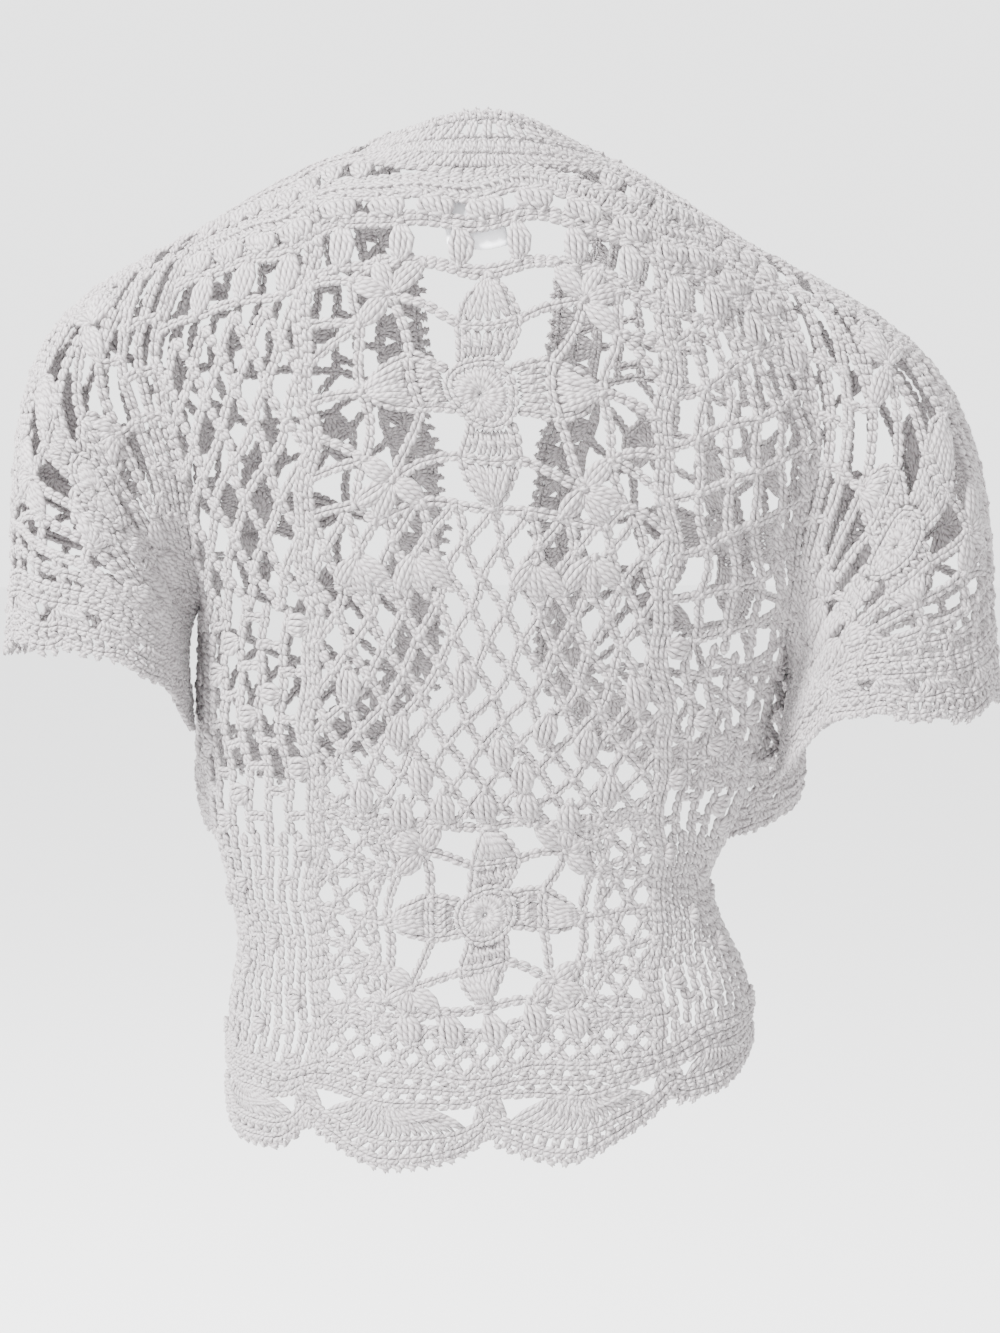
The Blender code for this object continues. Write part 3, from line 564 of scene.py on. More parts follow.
def yarn_material():
    """White mercerised cotton: plies that wind round the strand, painted shade in the hollows between
    them, and a soft sheen.
    """
    material, shader, start = new_material("cotton_yarn")
    winding = start.node("ShaderNodeUVMap", {"uv_map": "yarn"})
    axes = winding.tree.nodes.new("ShaderNodeSeparateXYZ")
    winding.tree.links.new(winding.link, axes.inputs[0])
    around = Socket(start.tree, axes.outputs[0])
    run = Socket(start.tree, axes.outputs[1])
    plies = (around * (2 * math.pi * PLIES) + run * (2 * math.pi / PLY_PITCH)).sine()
    place = start.node("ShaderNodeTexCoord", output="Object")
    fibre = start.node("ShaderNodeTexNoise", {}, {"Vector": place, "Scale": 1800.0, "Detail": 3.0})
    cloud = start.node("ShaderNodeTexNoise", {}, {"Vector": place, "Scale": 30.0, "Detail": 2.0})
    shade = start.node("ShaderNodeAttribute", {"attribute_name": "shade"}, output="Fac")
    height = plies * 0.6 + fibre * 0.7
    bump = start.node("ShaderNodeBump", {}, {"Height": height, "Strength": 0.8, "Distance": 0.0004})
    # Painted shade: the hollows between the plies are darkened in the base colour as a narrow dark line
    # along each ply, standing in for the shade that falls there.
    painted_shade_depth = 0.5 - plies * 0.5
    painted_ply_shade = painted_shade_depth.maths("POWER", painted_shade_depth, 3.0)
    # The base colour mixes a random tone for each strand and a random cloud of tone with the painted
    # shade between the plies; its dark pinkish end is reached mostly through that painted shade.
    tone_with_painted_shade = 0.72 + shade * 0.24 + cloud * 0.14 - painted_ply_shade * 0.6
    feed(start, shader, Base_Color=mixed(tone_with_painted_shade, (0.075, 0.06, 0.064, 1), (0.335, 0.312, 0.316, 1)))
    feed(start, shader, Normal=bump, Roughness=0.55 + fibre * 0.25)
    shader.inputs["Sheen Weight"].default_value = 0.25
    shader.inputs["Sheen Roughness"].default_value = 0.4
    return material


cotton = yarn_material()


def inside(places, outline):
    """Which places lie in a closed outline."""
    x, t = np.asarray(places, float).T
    hit = np.zeros(len(x), bool)
    for (ax, at), (bx, bt) in zip(outline, [*outline[1:], outline[0]]):
        if at != bt:
            crossing = ((at > t) != (bt > t)) & (x < ax + (t - at) * (bx - ax) / (bt - at))
            hit ^= crossing
    return hit


SHORTEST = 4.0


def clipped(line, outline):
    """The stretches of a line that lie in an outline, but for the shortest."""
    line = np.asarray(line, float)
    run = running(line)
    fine = np.unique(np.concatenate([np.linspace(0, run[-1], int(run[-1]) + 2), run]))
    places = places_at(fine, run, line)
    kept = inside(places, outline)
    stretches, first = [], None
    for number, keep in enumerate([*kept, False]):
        if keep and first is None:
            first = number
        if not keep and first is not None:
            if fine[number - 1] - fine[first] >= SHORTEST:
                stretches.append(places[first:number])
            first = None
    return stretches


# A medallion's measures in millimetres, before it is scaled to its panel; turns are in degrees
ARM_TIP = 57.0
DISC = 14.5
FAN_TURNS = (-43, 25, 65, 133)
FAN_LENGTH = 19.5
SPOKES = (0, 0.3, 0.62, 0.94)
ROOM_BELOW = 66.0


def ring_of(count):
    """Directions all round, at even steps."""
    turns = np.linspace(0, 2 * math.pi, count, endpoint=False)
    return np.stack([np.cos(turns), np.sin(turns)], axis=1)


def run_of(yarn, places, outline, lift=0.0, knots=True):
    """Chains from place to place, where they lie on the panel."""
    for first, last in zip(places[:-1], places[1:]):
        for stretch in clipped((first, last), outline):
            yarn.chain(stretch, lift=lift)
            if knots:
                yarn.knots(stretch[[-1]])


def fan(yarn, base, turns, length, stretch=(1, 1)):
    """Leaves that fan out from one place; turns are in degrees from across to down."""
    turns = np.radians(turns)
    tips = base + length * np.array(stretch) * np.stack([np.cos(turns), np.sin(turns)], axis=1)
    yarn.lay([base] * len(tips), tips, LEAF)
    yarn.knots([base, *tips], size=1.2)
    return tips


def petal(yarn, centre, scale, axis):
    """One arm of a medallion: five posts, a bar, and five leaves drawn together to a point."""
    turned = np.array((axis, (-axis[1], axis[0])))

    def arm(*places):
        return centre + np.array(places) @ turned * scale

    def row(out, reach):
        return arm(*[(out, side) for side in np.linspace(-reach, reach, 5)])

    yarn.lay(row(18, 7.65), row(32, 10.2), POST)
    yarn.chain(arm((33, -12.5), (33, 12.5)), lift=1.0)
    yarn.lay(row(34, 9.5), row(56, 0.95), LEAF[1:3], 0.3)
    for side in (-1, 1):
        yarn.chain(arm((15, 10 * side), (33, 13.5 * side), (46, 9 * side), (ARM_TIP, 0)), lift=0.3)
    yarn.knots(arm((ARM_TIP, 0)), size=1.4)


def medallion(yarn, centre, reach, half, outline, framed=True):
    """A square medallion: a disc of rays, four petals, four fans of leaves, and its ring of chains.
    Reach is the way to a petal's tip, and half the way to the edges of its panel."""
    centre = np.array(centre, float)
    scale = np.array(reach) / ARM_TIP
    disc = DISC * min(scale)
    yarn.lay(centre + 0.8 * ring_of(18), centre + disc * ring_of(18), RAY, lift=0.6)
    rim = centre + (disc + 1.8) * ring_of(36)
    yarn.chain([*rim, rim[0]], lift=1.5, pitch=5.0)
    for axis in ((1.0, 0.0), (0.0, 1.0), (-1.0, 0.0), (0.0, -1.0)):
        petal(yarn, centre, scale, axis)
    for corner in scale * np.array(((1, 1), (-1, 1), (-1, -1), (1, -1))):
        base = centre + corner * (44, 45)
        tips = fan(yarn, base, FAN_TURNS, FAN_LENGTH, corner)
        ring = [centre + corner * (ARM_TIP, 0), *tips, centre + corner * (0, ARM_TIP)]
        run_of(yarn, ring, outline)
        run_of(yarn, [centre + corner * (13.5, 33), base, centre + corner * (33, 13.5)], outline)
        edge = centre + np.sign(corner) * np.array(half)
        room = edge - centre
        beside = [(edge[0], centre[1] + room[1] * spoke) for spoke in SPOKES]
        for first, last in ((0, 0), (1, 1), (1, 2), (2, 3)):
            run_of(yarn, [ring[first], beside[last]], outline)
        if half[1] > ROOM_BELOW * scale[1]:
            below = [(centre[0] + room[0] * spoke, edge[1]) for spoke in SPOKES]
            for first, last in ((5, 0), (4, 1), (4, 2), (3, 3)):
                run_of(yarn, [ring[first], below[last]], outline)
        if framed:
            run_of(yarn, [(edge[0], centre[1]), edge, (centre[0], edge[1])], outline, knots=False)


def diamonds(yarn, left, right, top, low, count, rows, outline, slope=0.0, taper=0.0):
    """A net of upright diamonds: chains that swing to their neighbours and back. Slope tilts its rows,
    and taper makes the lower ones shorter."""
    pitch = (right - left) / count
    share = np.linspace(0, 1, rows + 1)
    downs = top + (low - top) * (share + taper * share * (1 - share))
    for middle in left + pitch * np.arange(count + 1):
        for bend in (-0.5, 0.5):
            line = []
            for row, down in enumerate(downs):
                place = np.clip(middle + bend * pitch * (row % 2), min(left, right), max(left, right))
                line.append((place, down + slope * (place - left)))
            run_of(yarn, line, outline)


def net(yarn, acrosses, downs, outline, slope=0.0):
    """A plain net of chains. Slope tilts its rows."""
    grid = [[(x, t + slope * (x - acrosses[0])) for t in downs] for x in acrosses]
    for line in (*grid, *zip(*grid)):
        run_of(yarn, line, outline)


def ladders(yarn, acrosses, top, low, rung, outline, puffs=3):
    """Upright chains with rungs between them. Every so many rungs, as puffs says, one is a fat puff
    that lies on its side."""
    for column_number, (left, right) in enumerate(zip(acrosses[:-1], acrosses[1:])):
        run_of(yarn, [(left, top), (left, low)], outline, knots=False)
        levels = np.arange(top + rung * (0.3 + 0.5 * (column_number % 2)), low - 3, rung)
        for number, level in enumerate(levels):
            if (column_number + 2 * number) % puffs:
                run_of(yarn, [(left, level), (right, level)], outline)
            elif inside([(left, level), (right, level)], outline).all():
                yarn.lay([(left, level)], [(right, level)], PUFF, 0.6)
    run_of(yarn, [(acrosses[-1], top), (acrosses[-1], low)], outline, knots=False)


def clusters(yarn, places, length, outline):
    """Fat upright puffs."""
    places = np.asarray(places, float)
    places = places[inside(places, outline) & inside(places + (0, length), outline)]
    yarn.lay(places, places + (0, length), PUFF, 0.5)
    yarn.knots([*places, *(places + (0, length))], size=1.2)


def fringe(yarn, line, out_step, pitch=7.5):
    """Small loops that stand on an edge."""
    places = yarn.marks(line, pitch)
    middles = (places[:-1] + places[1:]) / 2
    run = unit(places[1:] - places[:-1])
    outward = out_step * np.stack([-run[:, 1], run[:, 0]], axis=1)
    tips = middles + outward
    yarn.lay(middles - 1.6 * run, tips - 0.8 * run, CHAIN[:1])
    yarn.lay(middles + 1.6 * run, tips + 0.8 * run, CHAIN[1:])
    yarn.knots(tips, reach=2.4)


# The armhole: how far it is cut into the back and the front at each angle round it from the shoulder
HOLE_NAMES = ("angle", "level", "back", "front")
HOLE_ROWS = (
    (0, 0, 0, 0),
    (20, 8, 0, 0),
    (40, 30, 0, 0),
    (62, 70, 0, 0),
    (90, 115, 6, 7),
    (120, 165, 21, 20),
    (148, 208, 17, 15),
    (166, 229, 8, 8),
    (180, 235, 0, 0),
)


def hole_edge(face, side):
    """Places down the armhole of a panel whose side line lies at the given place across."""
    turn = np.linspace(0, 180, 15)[1:]
    cut = column(HOLE_ROWS, HOLE_NAMES, face, turn)
    return list(zip(side - cut, column(HOLE_ROWS, HOLE_NAMES, "level", turn)))


def back_outline():
    """The back laid flat, in millimetres."""
    turns = np.linspace(0, math.pi, 15)
    neck = [(NECK_HALF * math.cos(turn), NECK_DROP * math.sin(turn) + 0.5) for turn in turns]
    edge = [(x, 0.5) for x in np.linspace(NECK_HALF, HALF_BACK - 1.5, 7)]
    edge += hole_edge("back", HALF_BACK - 1.5) + [(HALF_BACK - 1.5, BACK_LENGTH)]
    mirrored = [(-x, t) for x, t in edge]
    return [*neck[1:-1], *mirrored, *edge[::-1]]


back_cloth = Cloth(back_form, (-186, 186), (-2, 524))
flat_back = back_outline()
lace = Yarn(back_cloth, seed=11)
medallion(lace, (0, 131), (58, 55), (STRIP, 58), flat_back, framed=False)
medallion(lace, (0, 391), (46, 44), (STRIP, 54), flat_back, framed=False)
back_medallions = lace.finish("back_medallions", cotton)

# The yoke over the upper medallion: dense rows along the shoulders, and three rows of clusters
lace = Yarn(back_cloth, seed=13)
for down in (0.5, 9, 18, 31, 41, 51, 54, 73):
    run_of(lace, [(-HALF_BACK, down), (HALF_BACK, down)], flat_back, knots=False)
for low, high in ((9, 1), (18, 9), (41, 31)):
    for stretch in clipped([(-HALF_BACK + 3, low), (HALF_BACK - 3, low)], flat_back):
        lace.posts(stretch, stretch + (0, high - low))
for shift in (-3.2, 3.2):
    clusters(lace, [(x + shift, 41) for x in np.arange(-168, 169, 24.0)], 10, flat_back)
clusters(lace, [(x + 12, 54) for x in np.arange(-192, 181, 28.0)], 19, flat_back)
clusters(lace, [(x, 19) for x in np.arange(-180, 181, 15.0)], 11, flat_back)
back_yoke = lace.finish("back_yoke", cotton)

# Between the medallions and round the lower one: a net of narrow diamonds, with leaves and puffs
lace = Yarn(back_cloth, seed=12)
diamonds(lace, -STRIP, STRIP, 186, 346, 10, 12, flat_back, taper=0.35)
LEAVES_AT = ((58, 206), (30, 212), (-26, 210), (-52, 206))
PUFFS_AT = (
    (68, 262), (40, 286), (-28, 284), (-48, 288), (14, 262), (-70, 264),
    (-8, 300), (32, 310), (-18, 312), (62, 318), (-60, 314),
)
for place in LEAVES_AT:
    fan(lace, np.array(place, float), (52, 90, 128), 21)
for place in PUFFS_AT:
    clusters(lace, [place], 20, flat_back)
diamonds(lace, -STRIP, -54, 337, 445, 2, 9, flat_back)
diamonds(lace, 54, STRIP, 337, 445, 2, 9, flat_back)
for down in (328, 437):
    clusters(lace, [(x, down) for x in (-42, -21, 0, 21, 42)], 18, flat_back)
run_of(lace, [(-STRIP, 446), (STRIP, 446)], flat_back, knots=False)
diamonds(lace, -STRIP, STRIP, 446, BACK_LENGTH, 13, 3, flat_back)

# Beside the middle strip: tall diamonds on the left and a slanting net on the right, with ladders
# below them, and a pair of raised chains down each edge of the strip
WING = STRIP + 5
diamonds(lace, WING, HALF_BACK, 75, 234, 5, 8, flat_back, slope=0.1)
upper_back = [(x, min(t, 238)) for x, t in flat_back]
net(lace, np.linspace(-WING, -HALF_BACK, 7), np.arange(90, 330, 26.0), upper_back, slope=0.65)
for side in (-1, 1):
    ladders(lace, side * np.linspace(WING, HALF_BACK - 2, 8), 236, 352, 25, flat_back)
    ladders(lace, side * np.linspace(WING, HALF_BACK - 2, 11), 352, BACK_LENGTH, 29, flat_back, puffs=5)
    for edge in (side * STRIP, side * WING):
        run_of(lace, [(edge, 20), (edge, BACK_LENGTH)], flat_back, lift=0.6, knots=False)
lace.chain([*flat_back, flat_back[0]], lift=-0.2)
back_lace = lace.finish("back_lace", cotton)
for piece in (back_medallions, back_yoke, back_lace):
    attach(piece, "root")
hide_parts("back")


# The hem edging. Four scallops are crocheted along the lower edge of the back: two rows of small
# holes, a fan of posts in each scallop and a small one between them, a rim of small holes, and
# small loops that stand on the rim.
HEM_TOP = BACK_LENGTH + 0.5
SCALLOP_RISE = 24.0


def hem_line(share):
    """A line along the hem, from its top (0) to the edge of its scallops (1)."""
    line = []
    for x in np.linspace(-HALF_BACK + 1.5, HALF_BACK - 1.5, 123):
        wave = abs(math.sin(math.pi * x / SCALLOP)) ** 0.7
        line.append((x, HEM_TOP + share * (BACK_HEM - SCALLOP_RISE * (1 - wave) - HEM_TOP)))
    return line


lace = Yarn(back_cloth, seed=21)
lines = [hem_line(share) for share in (0, 0.17, 0.34, 0.77, 0.97)]
for line in lines:
    lace.chain(line, lift=0.5, pitch=5.4)
lace.shells(lines[0], lines[1], 11.5, 2)
lace.posts(lines[1], lines[2], pitch=7.7)
lace.shells(lines[2], lines[3], SCALLOP, 14, width=0.74, foot=0.24)
lace.shells(lines[2], lines[3], SCALLOP, 5, shift=1.0, width=0.2, foot=0.35)
lace.posts(lines[3], lines[4], pitch=6.2)
fringe(lace, lines[-1], 4.5, pitch=6.2)
hem_shells = lace.finish("hem_shells", cotton)
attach(hem_shells, "root")
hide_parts("hem_edging")


# The two fronts. Each is narrower than half the back and hangs open, with its edge swinging out from
# the neck to a round lower corner, and one medallion in its middle. Its border is crocheted on.
FRONT_WIDTH = 168.0
FRONT_LENGTH = 318.0
FRONT_CORNER = 70.0
SIDE_DROP = 46.0
SHOULDER_DEPTH = 70.0
NECK_DEPTH = 80.0
NECK_LEAN = 0.86
NECK_RISE = 0.42
FRONT_NAMES = ("down", "x", "y", "z", "left_flare", "right_flare", "level")
FRONT_ROWS = (
    (0, 68, 6, 4, 0, 0, 0),
    (10, 67, -12, 1, 0, 0, 10),
    (40, 63, -50, -30, 0, 0, 36),
    (95, 57, -88, -82, 4, 6, 85),
    (155, 52, -120, -138, 8, 12, 140),
    (215, 49, -140, -196, 14, 24, 190),
    (265, 50, -146, -246, 20, 48, 235),
    (318, 54, -142, -298, 26, 76, 290),
    (370, 60, -134, -348, 28, 84, 345),
    (420, 66, -126, -396, 28, 84, 395),
)


def front_form(side):
    """The form of one front: across runs from its edge to the armhole and the side seam. It swings
    out round the front and bends back to the seam, and its top follows the shoulder."""

    def sections(down):
        edge = columns(FRONT_ROWS, FRONT_NAMES, ("x", "y", "z"), down)
        rim, arrival = side_line(column(FRONT_ROWS, FRONT_NAMES, "level", down), side, "front")
        reach = np.linalg.norm(rim - edge, axis=1)
        lead = edge.copy()
        lead[:, 0] += 0.42 * reach
        lead[:, 1] -= 0.02 * reach
        lead[:, 2] += 0.2 * (rim[:, 2] - edge[:, 2])
        tail = rim - SEAM_TAIL * reach[:, None] * arrival
        tail[:, 0] += column(FRONT_ROWS, FRONT_NAMES, side + "_flare", down)
        return bezier(edge, lead, tail, rim)

    def form(across, down):
        curves = sections(down)
        share = across / FRONT_WIDTH
        points = along(curves, share)
        inward = unit(curves[:, 0] - curves[:, 1])
        rise = np.clip(1 - down / NECK_DEPTH, 0, 1)[:, None] ** 0.7
        inward = (1 - rise) * inward + rise * np.array((-NECK_LEAN, 0.0, NECK_RISE))
        points += np.maximum(-across, 0)[:, None] * inward
        shoulder = NECK_HALF + (HALF_BACK - NECK_HALF) * np.clip(share, 0, 1)
        sign = 1 if side == "left" else -1
        seam = back_form(sign * shoulder, np.zeros_like(shoulder))
        seam[:, 0] *= sign
        top = along(sections(np.zeros_like(down)), share)
        points += (seam - top) * np.clip(1 - down / SHOULDER_DEPTH, 0, 1)[:, None] ** 2
        points[:, 0] *= sign
        return points

    return form


def front_down(level):
    """How far down a front a level of the side line lies."""
    downs = np.linspace(0, 420, 800)
    return np.interp(level, column(FRONT_ROWS, FRONT_NAMES, "level", downs), downs)


def front_edge(inset):
    """The open edge and hem of a front, from the shoulder round the corner to the side seam."""
    low = FRONT_LENGTH - inset
    corner = FRONT_CORNER - inset
    edge = [(inset, t) for t in np.linspace(0.9, low - corner, 15)[:-1]]
    for turn in np.linspace(math.pi, math.pi / 2, 12):
        edge.append((inset + corner * (1 + math.cos(turn)), low - corner * (1 - math.sin(turn))))
    edge += [(x, low) for x in np.linspace(inset + corner, FRONT_WIDTH - 1.2, 9)[1:]]
    return [(x, t + SIDE_DROP * max(x / FRONT_WIDTH, 0) ** 3) for x, t in edge]


def front_outline():
    """A front laid flat, inside its border."""
    edge = front_edge(0.0)
    hole = [(x, float(front_down(level))) for x, level in hole_edge("front", FRONT_WIDTH - 1.2)]
    shoulder = [(x, 0.9) for x in np.linspace(0, FRONT_WIDTH - 1.2, 7)]
    return [*edge, *hole[::-1], *shoulder[:0:-1]]


flat_front = front_outline()
for number, side in enumerate(("left", "right")):
    face_out = -1 if side == "left" else 1
    front_cloth = Cloth(front_form(side), (-34, 170), (-2, 380), face_out)
    lace = Yarn(front_cloth, seed=31 + number)
    medallion(lace, (84, 190), (54, 54), (STRIP, STRIP), flat_front)
    ladders(lace, np.linspace(0, FRONT_WIDTH, 11), 0, 106, 26, flat_front, puffs=4)
    diamonds(lace, 0, FRONT_WIDTH, 274, 366, 9, 6, flat_front)
    lace.chain([*flat_front, flat_front[0]], lift=-0.2)
    front = lace.finish(f"front_{side}_lace", cotton)
    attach(front, "root")
    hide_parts("front_" + side)

    # Its border: two rows of shells and a rim of loops along the open edge and the hem
    lace = Yarn(front_cloth, seed=41 + number)
    lines = [front_edge(inset) for inset in (-1.0, -11.0, -20.5)]
    for row, (low, high) in enumerate(zip(lines[:-1], lines[1:])):
        lace.shells(low, high, 17.0, 5, shift=0.5 * (row % 2), foot=0.3)
        lace.chain(high, lift=0.4, pitch=5.2)
    lace.chain(lines[0])
    fringe(lace, lines[-1], 4.0)
    border = lace.finish(f"border_{side}_shells", cotton)
    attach(border, "root")
    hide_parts("border_" + side)


# The sleeves. Each is worked round in one with a medallion on its back and one on its front, is
# sewn into its armhole, and opens out to a wide end with a cuff of shells.
SLEEVE_HALF_TURN = 147.0
SLEEVE_LENGTH = 168.0
SLEEVE_MIDDLE = 40.0
SLEEVE_NAMES = ("angle", "left_x", "left_y", "left_z", "right_x", "right_y", "right_z", "lead", "rise")
SLEEVE_END = (
    (0, 236, 0, -194, 251, -4, -213, 96, 131),
    (45, 223, 38, -195, 240, 36, -226, 74, 96),
    (90, 190, 54, -199, 206, 54, -230, 46, 52),
    (135, 163, 42, -219, 174, 44, -236, 26, 24),
    (180, 152, -3, -250, 149, -2, -274, 12, 11),
    (225, 163, -38, -226, 174, -40, -250, 28, 25),
    (270, 188, -53, -203, 204, -57, -234, 46, 52),
    (315, 222, -40, -196, 239, -44, -226, 74, 96),
)
SLEEVE_ROWS = [(row[0] + turn, *row[1:]) for turn in (-360, 0, 360) for row in SLEEVE_END]


def armhole(angle, side):
    """Points of the armhole seam, from the shoulder over the back to the underarm and up the front."""
    sign = 1 if side == "left" else -1
    turn = np.where(angle <= 180, angle, 360 - angle)
    level = column(HOLE_ROWS, HOLE_NAMES, "level", turn)
    behind = back_form(sign * (HALF_BACK - column(HOLE_ROWS, HOLE_NAMES, "back", turn)), level)
    cut = column(HOLE_ROWS, HOLE_NAMES, "front", turn)
    before = front_form(side)(FRONT_WIDTH - cut, front_down(level))
    points = np.where((angle <= 180)[:, None], behind, before)
    points[:, 0] *= sign
    return points


def sleeve_form(side):
    """The form of one sleeve: across runs round it from the shoulder, and down to the cuff. It
    leaves the armhole outward and a little down, and hangs straight at its end."""

    def form(across, down):
        angle = (across / SLEEVE_HALF_TURN * 180) % 360
        top = armhole(angle, side)
        names = (side + "_x", side + "_y", side + "_z")
        low = columns(SLEEVE_ROWS, SLEEVE_NAMES, names, angle)
        lead, rise = columns(SLEEVE_ROWS, SLEEVE_NAMES, ("lead", "rise"), angle).T[:, :, None]
        turn = np.radians(angle)
        drop = -0.38 - 0.22 * np.sin(turn) ** 2 - 0.09 * np.cos(turn)
        out = np.stack([np.full_like(angle, 0.9), 0.15 * np.sin(turn), drop], axis=1)
        fall = np.array((0.0, 0.0, -1.0))
        curves = bezier(top, top + lead * out, low - rise * fall, low)
        share = down / SLEEVE_LENGTH
        points = along(curves, share)
        middle = columns(SLEEVE_ROWS, SLEEVE_NAMES, names, np.zeros_like(angle))
        middle[:, 0] -= SLEEVE_MIDDLE
        outward = low - middle
        outward[:, 2] = 0
        beyond = np.maximum(share - 1, 0) * SLEEVE_LENGTH * (0.8 + 0.2 * np.cos(turn))
        points += beyond[:, None] * (fall + 0.1 * unit(outward))
        points[:, 0] *= 1 if side == "left" else -1
        return points

    return form


def sleeve_outline(first):
    """Half a sleeve laid flat."""
    left, right = first * SLEEVE_HALF_TURN, (first + 1) * SLEEVE_HALF_TURN
    return [(left, 1.5), (right, 1.5), (right, SLEEVE_LENGTH), (left, SLEEVE_LENGTH)]


CUFF_SCALLOP = 2 * SLEEVE_HALF_TURN / 10
CUFF_ROWS = ((168.5, 0), (176.5, 0), (191, 4), (201, 6))


def cuff_line(down, scallop):
    """A line round the sleeve's end that rises between its scallops."""
    places = np.linspace(0, 2 * SLEEVE_HALF_TURN, 161)
    wave = np.abs(np.sin(math.pi * places / CUFF_SCALLOP)) ** 0.7
    return [(x, down - scallop * (1 - rise)) for x, rise in zip(places, wave)]


middles = (0.5 * SLEEVE_HALF_TURN, 1.5 * SLEEVE_HALF_TURN)
for number, side in enumerate(("left", "right")):
    face_out = -1 if side == "left" else 1
    sleeve_cloth = Cloth(sleeve_form(side), (-2, 2 * SLEEVE_HALF_TURN + 2), (-2, 214), face_out)
    lace = Yarn(sleeve_cloth, seed=51 + number)
    for first, middle in enumerate(middles):
        half = (SLEEVE_HALF_TURN / 2, 62)
        medallion(lace, (middle, 88), (48, 44), half, sleeve_outline(first))
    medallions = lace.finish(f"sleeve_{side}_medallions", cotton)
    lace = Yarn(sleeve_cloth, seed=53 + number)
    for first, middle in enumerate(middles):
        flat_sleeve = sleeve_outline(first)
        edges = np.linspace(first * SLEEVE_HALF_TURN, (first + 1) * SLEEVE_HALF_TURN, 11)
        net(lace, edges, (2, 14, 26), flat_sleeve)
        for beside in (-1, 1):
            near, far = middle + 54 * beside, middle + 73.5 * beside
            diamonds(lace, near, far, 26, 150, 2, 10, flat_sleeve)
        net(lace, edges, (150, 159, 168), flat_sleeve)
    sleeve = lace.finish(f"sleeve_{side}_lace", cotton)
    for piece in (medallions, sleeve):
        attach(piece, "root")
    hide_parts(f"sleeve_{side}_back", f"sleeve_{side}_front")

    # Its cuff: a row of pairs of posts, a row of shells, a row of small holes and a rim of loops
    lace = Yarn(sleeve_cloth, seed=61 + number)
    rows = [cuff_line(down, scallop) for down, scallop in CUFF_ROWS]
    for row in rows:
        lace.chain(row, lift=0.5, pitch=5.4)
    lace.shells(rows[0], rows[1], 10.5, 2)
    lace.shells(rows[1], rows[2], CUFF_SCALLOP, 7, width=0.84, foot=0.25)
    lace.posts(rows[2], rows[3], pitch=6.5)
    fringe(lace, rows[-1], 4.0, pitch=6.5)
    cuff = lace.finish(f"cuff_{side}_shells", cotton)
    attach(cuff, "root")
    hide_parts(f"cuff_{side}_back", f"cuff_{side}_front")


# The neck band. It stands round the back neck from one front edge to the other: a firm row of posts,
# a row of shells, an open row of posts, and small loops along its top.
COLLAR_HEIGHT = 26.0
COLLAR_HALF = 68.0


def neck_drop(across):
    """How far down the back its neck edge lies."""
    return NECK_DROP * np.sqrt(np.clip(1 - (across / NECK_HALF) ** 2, 0, 1))


def collar_form(across, up):
    """The form of the standing band."""
    inner = np.clip(across, -NECK_HALF, NECK_HALF)
    edge = back_form(inner, neck_drop(inner))
    share = np.clip(np.abs(across) / NECK_HALF, 0, 1)[:, None]
    outward = np.sign(across)[:, None] * np.array((-NECK_LEAN, 0, 0))
    lean = (1 - share**2) * np.array((0, -0.1, 0.95)) + share**2 * np.array((0, 0, NECK_RISE))
    return edge + up[:, None] * (lean + share * outward)


collar_cloth = Cloth(collar_form, (-72, 72), (-1, 34), pull=0.0)
lace = Yarn(collar_cloth, seed=71)
crest = np.linspace(-COLLAR_HALF, COLLAR_HALF, 80)
heights = COLLAR_HEIGHT * (0.8 + 0.2 * np.cos(0.5 * math.pi * crest / COLLAR_HALF))
bands = [np.stack([crest, share * heights], axis=1) for share in (0.03, 0.3, 0.6, 0.96)]
for band in bands:
    lace.chain(band, lift=0.5, pitch=5.2)
lace.posts(bands[0], bands[1])
lace.shells(bands[1], bands[2], 8.5, 3, foot=0.2)
lace.posts(bands[2], bands[3], pitch=8.5)
fringe(lace, bands[-1], 4.0, pitch=6.0)
neck_band = lace.finish("neck_band_lace", cotton)
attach(neck_band, "root")
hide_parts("neck_band")


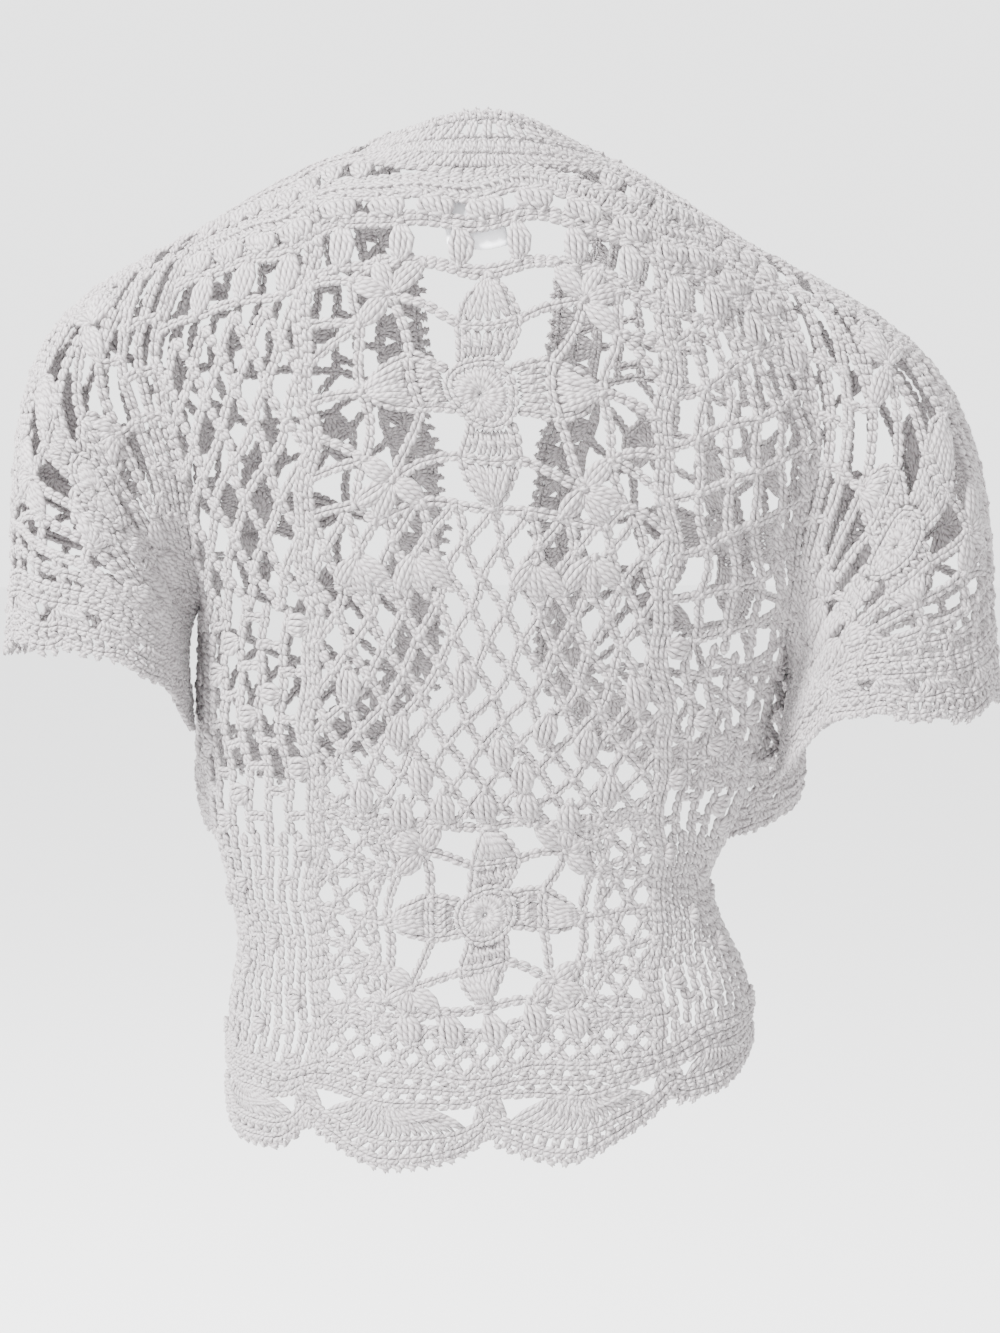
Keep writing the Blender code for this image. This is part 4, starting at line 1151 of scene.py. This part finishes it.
# The label. A small folded tab of white satin ribbon, sewn inside the back neck and left blank.
LABEL_WIDTH = 30.0
LABEL_DROP = 26.0
LABEL_MIDDLE = 8.0
LABEL_TOP = 37.0
LABEL_UNDER = 3.85
LABEL_CURL = 0.6
LABEL_COLUMNS = 16
LABEL_ROWS = 14


def satin_material():
    """White satin ribbon: fine cross ribs and a bright sheen."""
    material, shader, start = new_material("label_satin")
    place = start.node("ShaderNodeTexCoord", output="Object")
    ribs = start.node(
        "ShaderNodeTexWave",
        {"bands_direction": "Z"},
        {"Vector": place, "Scale": 900.0, "Distortion": 0.4},
    )
    cloud = start.node("ShaderNodeTexNoise", {}, {"Vector": place, "Scale": 120.0})
    bump = start.node("ShaderNodeBump", {}, {"Height": ribs, "Strength": 0.3, "Distance": 0.0001})
    feed(start, shader, Base_Color=mixed(cloud, (0.82, 0.82, 0.86, 1), (0.9, 0.9, 0.92, 1)))
    feed(start, shader, Normal=bump, Roughness=0.25 + ribs * 0.15)
    shader.inputs["Sheen Weight"].default_value = 0.2
    return material


downs = LABEL_TOP + np.linspace(0, LABEL_DROP, LABEL_ROWS)
acrosses = LABEL_MIDDLE + np.linspace(-0.5 * LABEL_WIDTH, 0.5 * LABEL_WIDTH, LABEL_COLUMNS)
points, out = back_cloth.at([(x, down) for down in downs for x in acrosses])
curl = LABEL_CURL * np.sin(np.linspace(0, math.pi, LABEL_ROWS)).repeat(LABEL_COLUMNS)[:, None]
points = points - (LABEL_UNDER + curl) * out
data = bpy.data.meshes.new("neck_label_ribbon")
quads = []
for row in range(LABEL_ROWS - 1):
    for corner in range(row * LABEL_COLUMNS, (row + 1) * LABEL_COLUMNS - 1):
        quads.append((corner, corner + 1, corner + LABEL_COLUMNS + 1, corner + LABEL_COLUMNS))
data.from_pydata([tuple(point * MM) for point in points], [], quads)
data.materials.append(satin_material())
data.shade_smooth()
label = bpy.data.objects.new("neck_label_ribbon", data)
bpy.context.scene.collection.objects.link(label)
bpy.ops.object.select_all(action="DESELECT")
bpy.context.view_layer.objects.active = label
label.select_set(True)
thick = label.modifiers.new("ribbon", "SOLIDIFY")
thick.thickness = 0.0006
thick.offset = 0.0
bpy.ops.object.modifier_apply(modifier="ribbon")

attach(label, "root")
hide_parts("neck_label")
